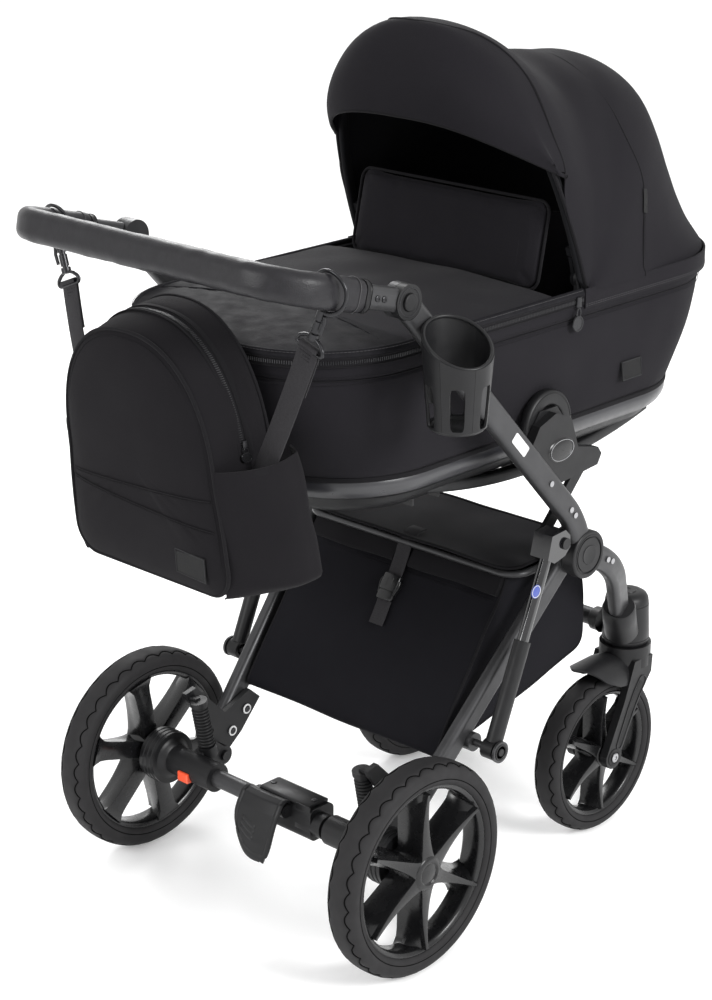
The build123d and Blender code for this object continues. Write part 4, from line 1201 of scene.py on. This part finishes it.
def make_grip():
    """The leatherette sleeve round the U, its seams, and the collars, screws and rings of the arms."""
    line = handle_line(80)
    n = len(line)
    ends = np.minimum(np.arange(n), np.arange(n)[::-1])
    size = np.interp(ends, [0, 1, 2, 4], [0.93, 0.985, 1.0, 1.0])
    v, f = sweep(line, rounded(30, 42, 14.4, 7), ARM_UP, scale=size)
    near = np.repeat(line, 32, axis=0)
    v = crease(v.reshape(n, 32, 3), unit(v - near).reshape(n, 32, 3), 0.05, 0.9, 12)
    piece("grip_sleeve", (v.reshape(-1, 3), f), "grip", "handle", "handle_grip", angle=60)
    t = unit(np.gradient(line, axis=0))
    inward = np.cross(ARM_UP, t) * (-1 if np.cross(ARM_UP, t[n // 2])[1] < 0 else 1)
    seam = line + inward * 15.1
    parts = [stitches(seam[2:-2] + ARM_UP * k, inward[2:-2], length=4, gap=2) for k in (-2, 2)]
    parts.append(sweep(seam[1:-1], circle(0.6, 6), inward[1:-1]))
    for side in (1, -1):
        a = on_arm(side * TUBE_X, 93)
        cross_x = np.array((side, 0, 0))
        loop = [a + cross_x * x + ARM_UP * z for x, z in rounded(30.6, 42.6, 14.6, 6)]
        parts.append(sweep(np.array(loop), circle(0.9, 6), (0, ARM_Y, ARM_Z), True))
    piece("grip_seams", join(*parts), "thread", "handle")
    collars, gaps, dots = [], [], []
    for side in (1, -1):
        for u0, u1, w, h, out in ((72, 80.5, 27.5, 38.5, collars), (70, 72, 24, 34, gaps)):
            ends = np.array([on_arm(side * TUBE_X, u0), on_arm(side * TUBE_X, u1)])
            out.append(sweep(ends, rounded(w, h, 12, 5), ARM_UP))
        for u in (44, 56):
            x0, x1, x2 = (side * q for q in (255.2, 256.6, 257.2))
            dots.append(lathe([(x0, 4.0), (x1, 4.0), (x2, 3.2), (x2, 1.6), (x1, 1.4), (x1, 0.1)],
                              on_arm(0, u), 20))
        x0, x1 = side * 256.9, side * 257.7
        dots.append(lathe([(x0, 18.4), (x1, 17.8), (x1, 17.0), (x0, 16.4)], (0, *HANDLE_HINGE), 40))
    piece("grip_collars", join(*collars), "plastic", "handle", bevel=1.2)
    piece("grip_gap_rings", join(*gaps), "rubber", "handle")
    piece("handle_screws", join(*dots), "black_steel", "handle")


make_grip()


# ---------------------------------------------------------------- small parts on the frame
def upright(part, centre):
    """A lathed part with its axis turned from X to Z."""
    v, f = part
    v = np.asarray(v)
    return np.stack([v[:, 1], v[:, 2], v[:, 0]], 1) + np.array(centre), f


def both_sides(part):
    return join(part, mirrored(part))


CUP_AXIS = (301.5, -265)


def make_cup():
    """A tapered cup with six tall windows and a rim that is cut lower on its outer side."""
    cx, cy, mid, low = *CUP_AXIS, 785, 756

    def top(a):
        return 859 + 22.8 * np.cos((a - 160) * DEG)

    def wall(a, z, grow=0.0):
        r = 33.5 + 8.5 * (z - 750) / 110 + grow
        return np.stack([cx + r * np.cos(a * DEG), cy + r * np.sin(a * DEG), z + 0 * a], -1)

    q = np.arange(64) * 360 / 64
    c, t = np.cos(q * DEG), np.sin(q * DEG)
    square = 1 / np.maximum(np.abs(c), np.abs(t))
    parts = []
    for k in range(6):
        middle = 311 + 60 * k
        edge = np.stack([13.5 * power(c, 7), 27 * power(t, 5)], 1)
        box = np.stack([30 * c * square, t * square], 1)
        rows = []
        for m in (0, 0.06, 0.3, 0.65, 1):
            a = middle + edge[:, 0] * (1 - m) + box[:, 0] * m
            far = np.where(box[:, 1] > 0, box[:, 1] * (top(middle + box[:, 0]) - mid),
                           box[:, 1] * (mid - low))
            rows.append(wall(a, mid + edge[:, 1] * (1 - m) + far * m))
        parts.append(grid(np.array(rows), False, True))
    piece("cup_wall", join(*parts), "plastic", "chassis", "cup_holder", thick=2.6, angle=50)
    a = np.arange(72) * 5.0
    rim = wall(a, top(a) - 0.5, -0.8)
    parts = [sweep(rim, rounded(4.6, 5.0, 2.0, 3), (0, 0, 1), True)]
    base = [(749.4, 0.1), (749.2, 25), (750.2, 30), (752, 33), (756.5, 34.4), (757, 31.5), (753.8, 30),
            (753, 26), (753, 0.1)]
    parts.append(upright(lathe(base, n=64), (cx, cy, 0)))
    piece("cup_rim_and_base", join(*parts), "plastic", "chassis", angle=45)
    pad = [(-262 + y, 802 + z) for y, z in rounded(26, 56, 11, 6)]
    piece("cup_clamp", prism(pad, 256.1, 267), "plastic", "chassis", bevel=1.5)


RECEIVER_Y, RECEIVER_Z = 16, 668
BADGE_Y, BADGE_Z = 24, 638


def arc_over(wide, high, start, end, n):
    """Points (y, z) of an arch over the receiver."""
    turn = np.linspace(start, end, n) * DEG
    return [(RECEIVER_Y + wide * math.cos(a), RECEIVER_Z + high * math.sin(a)) for a in turn]


def make_receivers():
    """The padded arch on each side of the cot, with its dark slot, and the blank oval badge below."""
    line = [(54, 640), (54, 655)] + arc_over(38, 40, 0, 180, 33) + [(-22, 655), (-22, 640)]
    path = np.array([(212.3, y, z) for y, z in line])
    arch = sweep(path, rounded(22, 15, 5.5, 4), (1, 0, 0))
    piece("cot_receiver_arches", both_sides(arch), "plastic", "carrycot", "cot_receivers",
          angle=50)
    lip = arc_over(44, 46, 8, 172, 33)
    ridge = sweep([(219.4, y, z) for y, z in lip], rounded(2.4, 1.6, 0.7, 2), (1, 0, 0))
    slot = arc_over(30, 31, 0, 180, 25)
    back = prism(slot + [(-14, 640), (46, 640)], 203.4, 205.4)
    piece("cot_receiver_slots", both_sides(join(back, ridge)), "rubber", "carrycot")
    a = np.arange(48) * 360 / 48 * DEG
    rows = []
    for k, x in ((0.03, 237.3), (0.4, 237.2), (0.75, 236.6), (0.93, 235.7), (1.0, 234.4)):
        rows.append(np.stack([0 * a + x, BADGE_Y + 27 * k * np.cos(a), BADGE_Z + 17 * k * np.sin(a)], 1))
    dome = grid(np.array(rows), False, True)
    piece("adapter_badges", both_sides(dome), "rim", "chassis", angle=50)
    loop = np.stack([0 * a + 236.5, BADGE_Y + 23.8 * np.cos(a), BADGE_Z + 14.2 * np.sin(a)], 1)
    ring_part = sweep(loop, circle(0.55, 6), (1, 0, 0), True)
    piece("adapter_badge_rings", both_sides(ring_part), "steel", "chassis")


def make_frame_trim():
    """Rings, caps and rivets at the frame's pivots, and the blank labels on its right tubes."""
    ring_mark = lathe([(257.6, 28.8), (258.8, 28.0), (258.8, 26.8), (257.6, 26.0)], MAIN_HINGE, 56)
    cap = lathe([(257.8, 14), (258.9, 13.2), (258.4, 9), (258.4, 0.1)], MAIN_HINGE, 40)
    piece("main_hinge_rings", both_sides(join(ring_mark, cap)), "plastic", "chassis")
    pin = lathe([(261.7, 12.0), (263.0, 11.2), (263.0, 9.6), (262.0, 8.6), (262.0, 5.6), (263.2, 5.0),
                 (263.2, 0.1)], STRUT_PIN, 36)
    piece("strut_pin_rings", both_sides(pin), "plastic", "rear_legs")
    rivets, holes = [], []
    for y, z in ((-176, 198), (-205, 173)):
        rivets.append(lathe([(169.8, 7.6), (168.6, 7.2), (168.6, 5.4), (169.8, 5.0)], (0, y, z), 28))
        holes.append(lathe([(169.8, 5.0), (167.8, 4.4), (167.4, 3.0), (168.2, 1.8), (168.2, 0.1)],
                           (0, y, z), 20))
    piece("leg_rivet_rings", both_sides(join(*rivets)), "white", "rear_legs")
    piece("leg_rivets", both_sides(join(*holes)), "black_steel", "rear_legs")
    d, w = np.array((0, 0.682, -0.731)), np.array((0, 0.731, 0.682))
    outline = [(np.array((0, -88, 677)) + d * a + w * b)[1:] for a, b in rounded(38, 15, 2.5, 3)]
    piece("tube_label", prism(outline, 256.05, 256.5), "white", "chassis")
    c = np.array((-46.0, 461.0))
    disc = c + circle(9.5, 36)
    piece("strut_label", prism(disc, 254.2, 255.0), "label", "strut_rod_right", bevel=0.2)
    loop = np.column_stack([np.full(36, 255.2), c + circle(8.2, 36)])
    piece("strut_label_ring", sweep(loop, circle(0.45, 6), (1, 0, 0), True), "white", "strut_rod_right")


def make_springs():
    """Rubber bellows over each suspension spring, with a plain collar at the top."""
    foot, top = np.array((158.0, -267, 177)), np.array((158.0, -280, 243))
    ribs = 13
    t = np.linspace(0.0, 1.0, ribs * 8 + 1)
    radius = 8.6 + 3.6 * np.abs(np.sin(t * ribs * math.pi)) ** 0.7
    radius[t > 0.93] = 11.0
    sleeve = sweep(foot + (top - foot) * t[:, None], circle(1, 28), scale=radius)
    ob = piece("spring_bellows", both_sides(sleeve), "rubber", None, "suspension_springs", angle=40)
    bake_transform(ob)


def make_forks():
    """The forks' channels and bolts, their mudguards, and the housings on the front legs."""
    shape = [(203, 136), (214, 158), (228, 186), (241, 208), (252, 222)]
    line = spaced(np.array(shape, float), 3)
    t = unit(np.gradient(line, axis=0))
    w = np.stack([-t[:, 1], t[:, 0]], 1)
    wide = np.interp(np.arange(len(line)), [0, len(line) - 1], [6.0, 9.0])[:, None]
    left, right = line + w * wide, line - w * wide
    bend, foot = ([line[i] + sign * wide[i] * (w[i] * math.cos(a * DEG) + t[i] * math.sin(a * DEG))
                   for a in range(20, 180, 20)] for i, sign in ((-1, 1), (0, -1)))
    loop = np.vstack([left, bend, right[::-1], foot])
    for side, key in SIDES:
        rims, darks, bolts = [], [], []
        for face in (217.0, 143.0):
            o = 1 if face > 180 else -1
            rim = np.array([(face + 0.2 * o, y, z) for y, z in loop])
            rims.append(sweep(rim, rounded(2.2, 2.0, 0.8, 2), (o, 0, 0), True))
            dark = np.array([(face + 0.15 * o, y, z) for y, z in line])
            darks.append(sweep(dark, rounded(11, 0.5, 0.2, 1), (o, 0, 0)))
            axle = (0, *FRONT_WHEEL[1:])
            washer = ((0, 13.5), (1.2, 13), (1.2, 9.5), (0.4, 9.2), (0.4, 7))
            bolt = ((0, 7.2), (2.6, 7.0), (3.6, 5.6), (3.6, 3.0), (2.4, 2.6), (2.4, 0.1))
            darks.append(lathe([(face + x * o, q) for x, q in washer], axle, 32))
            bolts.append(lathe([(face + x * o, q) for x, q in bolt], axle, 28))
        flip = (lambda part: part) if side > 0 else mirrored
        piece(f"fork_channel_rims_{key}", flip(join(*rims)), "plastic", f"fork_{key}")
        piece(f"fork_channels_{key}", flip(join(*darks)), "rubber", f"fork_{key}")
        piece(f"fork_bolts_{key}", flip(join(*bolts)), "steel", f"fork_{key}")
        rows = []
        for y in np.concatenate([[134.5, 135.5, 137.5, 140], np.linspace(145, 262, 22)]):
            low = np.interp(y, [134, 150, 202, 215, 262], [266, 255, 228, 228, 236])
            reach = math.degrees(math.acos(float(np.clip((low - 228) / 41, -1, 1))))
            reach = max(3.0, reach * min(1, ((y - 134) / 40) ** 0.5))
            a = np.linspace(-reach, reach, 25) * DEG
            top = np.interp(y, [134, 199, 262], [267.5, 269.3, 258])
            rows.append(np.stack([180 + 35 * np.sin(a), np.full(25, y), top - 41 * (1 - np.cos(a))], 1))
        guard = grid(np.array(rows))
        piece(f"mudguard_shell_{key}", flip(guard), "plastic", f"fork_{key}", f"mudguard_{key}",
              thick=3, angle=40)
        prof = [(354, 0.1), (354, 17), (353, 23), (350, 28), (345, 31.0), (338, 32.2),
                (337.2, 31.4), (335.8, 31.4), (335, 32.4), (318, 33.0), (296, 34.0), (287, 34.6), (284, 33.8),
                (283.4, 34.6), (279, 34), (276, 32), (275.8, 24), (275.8, 0.1)]
        body = upright(lathe(prof, n=72), FORK_PIVOT)
        socket = sweep(np.array([(192, 231, 300), (199, 216, 327), (205.5, 204, 349), (207, 202, 353)]),
                       rounded(44, 47, 19, 6), (1, 0, 0), scale=[1.0, 1.0, 1.0, 0.93])
        cap = upright(lathe([(353.8, 14), (355.4, 13), (355.4, 6), (354.6, 5), (354.6, 0.1)], n=40),
                      FORK_PIVOT)
        collar = lathe([(126, 13), (126, 16), (128, 17.5), (140, 17.5), (142, 19)], (0, 252, 297), 40)
        piece(f"fork_socket_{key}", flip(join(body, socket, cap, collar)), "plastic", "chassis",
              f"fork_housing_{key}", angle=38)


def make_brake():
    """The brake pedal, a curved shield with a raised border and three short ribs, its block and the drums."""
    prof = np.array([(-309, 171), (-316, 174.5), (-324, 171), (-332, 158), (-340, 140), (-348, 119),
                     (-354, 97)])
    u, t = np.meshgrid(np.linspace(-1, 1, 81), np.linspace(0, 1, 100))
    drop = 1 - 0.22 * np.clip(0.55 - u, 0, 2) ** 2 / 2.4
    k = t * drop * (len(prof) - 1)
    y = np.interp(k, np.arange(len(prof)), prof[:, 0])
    z = np.interp(k, np.arange(len(prof)), prof[:, 1])
    half = 37 * (1 + 0.03 * t) * (1 - 0.34 * np.clip((t - 0.72) / 0.28, 0, 1) ** 2 * (u < 0))
    half = half * (1 - 0.20 * np.clip((t - 0.80) / 0.20, 0, 1) ** 2 * (u > 0))
    border = np.maximum(np.exp(-((np.abs(u) - 0.93) / 0.05) ** 2) * (t > 0.12),
                        np.exp(-((t - 0.965) / 0.02) ** 2))
    ribs = sum(np.exp(-((t - c) / 0.011) ** 2) for c in (0.70, 0.76, 0.82)) * (np.abs(u + 0.18) < 0.34)
    rise = border + 0.7 * ribs
    p = np.stack([12.5 + half * u, y - 1.5 * rise + 3.0 * u**2, z + 0.9 * rise], -1)
    pin = lathe([(-27, 0.1), (-27, 4), (52, 4), (52, 0.1)], (0, -316, 163), 20)
    piece("pedal_shield", grid(p), "plastic", "brake_pedal", "brake_pedal", thick=4, angle=50)
    piece("pedal_pin", pin, "black_steel", "brake_pedal")
    plate = prism([(-304, 171.5), (-266, 171.5), (-266, 176), (-270, 177), (-300, 177), (-304, 175)], -12, 82)
    lip = prism([(-307.5, 140), (-305, 140), (-303, 176), (-305, 176.5)], 58, 86)
    screws = []
    for x, y in ((-4, -285), (74, -285)):
        screws.append(upright(lathe([(176.8, 4.2), (178.4, 3.8), (178.6, 2), (178, 1.6), (178, 0.1)], n=20),
                              (x, y, 0)))
    piece("brake_block_cover", join(plate, lip), "plastic", "rear_axle", bevel=1.4)
    piece("brake_block_screws", join(*screws), "black_steel", "rear_axle")
    axle = (0, *REAR_WHEEL[1:])
    rings = [lathe([(x - 1.6, 37.8), (x, 38.9), (x + 1.6, 37.8)], axle, 64) for x in (211, 219, 227)]
    rings.append(lathe([(197, 21), (198, 23.5), (202, 26), (206.5, 33), (206.5, 37)], axle, 64))
    piece("drum_rings", both_sides(join(*rings)), "plastic", "rear_axle")


def make_lift_straps():
    """A webbing handle sewn to each head corner of the cot."""
    rows = []
    for q in np.linspace(0, 1, 30):
        z = 794 - 92 * q
        edge = ring(z)
        corner = edge[np.argmax(edge[:, 0] * 0.5 + edge[:, 1] * 0.87)]
        rows.append(corner + np.array((0.5, 0.87, 0)) * (2.6 + 10 * math.sin(math.pi * q) ** 0.8))
    strap = sweep(np.array(rows), rounded(32, 2.4, 1.1, 2), (0.5, 0.87, 0))
    piece("cot_lift_straps", both_sides(strap), "webbing", "carrycot", angle=60)


make_cup()
make_receivers()
make_frame_trim()
make_springs()
make_forks()
make_brake()
make_lift_straps()


# ---------------------------------------------------------------- the basket
BASKET = [(-13, 453), (-165, 232), (-158, 227), (-148, 227), (0, 262), (146, 298), (154, 304), (157, 314),
          (152, 380), (137, 453)]
WALL_TOP_Y, WALL_TOP_Z = BASKET[0]
WALL_DOWN = unit(np.array(BASKET[1], float) - BASKET[0])
WALL_OUT = np.array((0, WALL_DOWN[1], -WALL_DOWN[0]))


def on_wall(x, down, out=0.0):
    """A point on the sloping rear wall, a distance down from its top edge."""
    top = np.array((x, WALL_TOP_Y + WALL_DOWN[0] * down, WALL_TOP_Z + WALL_DOWN[1] * down))
    return top + WALL_OUT * out


def make_basket():
    """The hanging cloth with its sides, the bound edges, and the rear wall's tunnel, strap and buckle."""
    line = spaced(np.array(BASKET, float), 7)
    for _ in range(2):
        line[1:-1] = (line[:-2] + 2 * line[1:-1] + line[2:]) / 4
    m = len(line)
    t = unit(np.gradient(line, axis=0))
    out2 = np.stack([0 * t[:, 0], t[:, 1], -t[:, 0]], 1)
    s = np.linspace(-1, 1, 61)
    down = np.concatenate([[0], np.cumsum(np.linalg.norm(np.diff(line, axis=0), axis=1))])
    rear = np.clip(1 - np.abs(down - 134) / 134, 0, 1)
    front = np.clip(1 - np.abs(down - (down[-1] - 70)) / 70, 0, 1)
    half = 177 + 3.5 * np.clip(down / 260, 0, 1) * (down < 300)
    p = np.stack([s[:, None] * half[None], np.broadcast_to(line[:, 0], (61, m)),
                  np.broadcast_to(line[:, 1], (61, m))], 2)
    n = np.broadcast_to(out2, p.shape)
    p = crease(p, n, 0.011, 4.0, 14)
    hang = (1 - s[:, None] ** 2) * (rear * 3.5 + front * 3.0)[None]
    corner = np.abs(s[:, None]) * 190 + down[None] * 0.55
    pucker = 1.6 * np.sin(corner / 9.0) * np.exp(-((np.abs(s[:, None]) - 1) / 0.22) ** 2) * np.exp(
        -(down[None] / 90) ** 2)
    centre = 2.2 * np.exp(-(s[:, None] / 0.05) ** 2) * np.exp(-(down[None] / 110) ** 2)
    p = p - n * (hang * 0.6 + centre - pucker)[..., None]
    parts = [grid(p)]
    cy, cz = 62, 453
    for side in (1, -1):
        edge = p[-1 if side > 0 else 0]
        rows = []
        for k in np.linspace(1, 0.02, 16):
            x = side * (np.abs(edge[:, 0]) + 4.0 * (1 - k**2) * np.clip((452 - edge[:, 2]) / 60, 0, 1))
            rows.append(np.stack([x, cy + (edge[:, 1] - cy) * k, cz + (edge[:, 2] - cz) * k], 1))
        rows = np.array(rows)
        rows = crease(rows, np.broadcast_to((1.0, 0, 0), rows.shape), 0.014, 2.5, 15)
        parts.append(grid(rows if side > 0 else rows[:, ::-1]))
    shell = piece("basket_shell", join(*parts), "basket_fabric", "chassis", "basket",
                  thick=2, offset=0, angle=60)
    trim = []
    for side in (0, -1):
        trim.append(sweep(p[side], circle(2.0, 8)))
    for x0, x1 in ((-176, -15), (15, 176)):
        xs = np.linspace(x0, x1, 40)
        tunnel = np.array([on_wall(x, 15 + 0.8 * math.sin(x / 23), 3.5 + 0.6 * math.sin(x / 11)) for x in xs])
        trim.append(sweep(tunnel, rounded(34, 9, 4.2, 4), WALL_OUT))
    xs = np.linspace(-172, 172, 90)
    rows = [np.array([on_wall(x, d, 1.6) for x in xs]) for d in (36, 39.5)]
    trim += [stitches(q, WALL_OUT) for q in rows]
    piece("basket_trim", join(*trim), "piping", "chassis", angle=50)
    # the centre strap with its side-release buckle and the free end below it
    strap = [(0, 6, 472), (0, -4, 472.5), (0, -14, 469), (0, -24, 461)]
    strap += [on_wall(0, down, out) for down, out in ((18, 9.5), (30, 8), (42, 6.5), (56, 6))]
    strap = spaced(np.array(strap, float), 4)
    outward = np.gradient(strap, axis=0) @ np.array(((1, 0, 0), (0, 0, 1), (0, -1, 0)))
    end = spaced([on_wall(0, down, out) for down, out in ((74, 6), (92, 5), (112, 3.6), (124, 3.2))], 4)
    band = rounded(25, 2, 0.9, 2)
    piece("basket_strap", join(sweep(strap, band, outward), sweep(end, band, WALL_OUT)), "webbing",
          "chassis", angle=55)
    socket = np.array([on_wall(0, d, 7) for d in (50, 52, 70, 74)])
    plug = np.array([on_wall(0, d, 7) for d in (74.5, 78, 86, 88)])
    buckle = [sweep(socket, rounded(31, 9, 3.2, 3), WALL_OUT, scale=[0.9, 1, 1, 0.94]),
              sweep(plug, rounded(29, 7.5, 3, 3), WALL_OUT, scale=[0.92, 1, 1, 0.9])]
    for side in (1, -1):
        prong = [on_wall(side * x, d, 7)
                 for x, d in ((15.2, 58), (16.6, 63), (16.4, 68), (14.4, 74), (13, 80))]
        buckle.append(sweep(np.array(prong), rounded(3.4, 6.5, 1.4, 2), WALL_OUT))
        groove = [on_wall(side * 5, d, 11.7) for d in (55, 68)]
        buckle.append(sweep(np.array(groove), circle(0.8, 6), WALL_OUT))
    piece("basket_buckle", join(*buckle), "rim", "chassis", angle=45)
    return shell


def make_lid():
    """The fabric lid on the rail: slack between the rods, with a bound edge; its cloth is painted lighter
    than the rest, as painted light from above.
    """
    y0, y1, reach, r = -24, 142, 191, 26
    u, v = np.meshgrid(np.linspace(-1, 1, 61), np.linspace(0, 1, 36))
    y = y0 + (y1 - y0) * v
    near = np.minimum(y - y0, y1 - y)
    half = reach - r + np.sqrt(np.maximum(r**2 - np.maximum(r - near, 0) ** 2, 0))
    slack = (1 - u**4) * np.sin(np.pi * v)
    z = 468.0 - 3.4 * slack + 1.2 * np.sin(u * 9 + v * 5) * slack
    p = np.stack([half * u, y, z], -1)
    p = crease(p, np.broadcast_to((0, 0, 1.0), p.shape), 0.016, 1.8, 17)
    # the lid's lighter cloth is painted light from above
    lid = piece("basket_lid_cloth", grid(p), "lid_fabric", "basket_lid", "basket_lid", thick=2,
                offset=0, angle=60)
    edge = np.vstack([p[0], p[1:-1, -1], p[-1, ::-1], p[-2:0:-1, 0]])
    edge = spaced(edge, 4, True)
    piece("basket_lid_binding", sweep(edge, rounded(6, 4.4, 2, 3), (0, 0, 1), True), "piping", "basket_lid")
    return lid


basket_cloth = make_basket()
lid_cloth_painted_light = make_lid()


# ---------------------------------------------------------------- floor, light and camera
def make_stage():
    """A white floor under a white sky."""
    floor = bpy.data.materials.new("studio_floor")
    floor.use_nodes = True
    shader = floor.node_tree.nodes["Principled BSDF"]
    shader.inputs["Base Color"].default_value = (0.93, 0.93, 0.93, 1)
    shader.inputs["Roughness"].default_value = 0.9
    shader.inputs["Emission Color"].default_value = (1, 1, 1, 1)
    shader.inputs["Emission Strength"].default_value = 0.16
    bpy.ops.mesh.primitive_plane_add(size=40, location=(0, 0, -0.0005))
    plane = bpy.context.object
    plane.name = "studio_floor"
    plane.data.materials.append(floor)
    world = bpy.data.worlds.new("studio")
    bpy.context.scene.world = world
    world.use_nodes = True
    world.node_tree.nodes["Background"].inputs["Color"].default_value = (1, 1, 1, 1)
    world.node_tree.nodes["Background"].inputs["Strength"].default_value = 1.0
    bpy.context.scene.view_settings.view_transform = "Standard"


def lamp(name, place, target, size, power_w):
    """A round soft box that faces its target."""
    data = bpy.data.lights.new(name, "AREA")
    data.shape, data.size, data.energy = "DISK", size, power_w
    ob = bpy.data.objects.new(name, data)
    bpy.context.scene.collection.objects.link(ob)
    ob.location = place
    ob.rotation_euler = (Vector(target) - Vector(place)).to_track_quat("-Z", "Y").to_euler()


CAMERA_PLACE = (2.0715, -2.3021, 1.6327)
CAMERA_AZIMUTH, CAMERA_ELEVATION = 43.5829 * DEG, 19.8511 * DEG


def make_camera():
    az, el = CAMERA_AZIMUTH, CAMERA_ELEVATION
    back = Vector((math.sin(az) * math.cos(el), -math.cos(az) * math.cos(el), math.sin(el)))
    data = bpy.data.cameras.new("camera")
    data.lens, data.sensor_width, data.sensor_fit = 84.35, 36, "AUTO"
    camera = bpy.data.objects.new("camera", data)
    bpy.context.scene.collection.objects.link(camera)
    camera.location = CAMERA_PLACE
    camera.rotation_mode = "QUATERNION"
    camera.rotation_quaternion = (-back).to_track_quat("-Z", "Y")
    bpy.context.scene.camera = camera


make_stage()
lamp("key", (3.4, 0.2, 2.2), (0, 0, 0.6), 1.4, 130)
lamp("front", (-0.6, -3.4, 2.0), (0, 0, 0.7), 1.2, 50)
lamp("rim", (-2.4, 1.6, 2.4), (0, 0, 0.8), 1.6, 50)
make_camera()
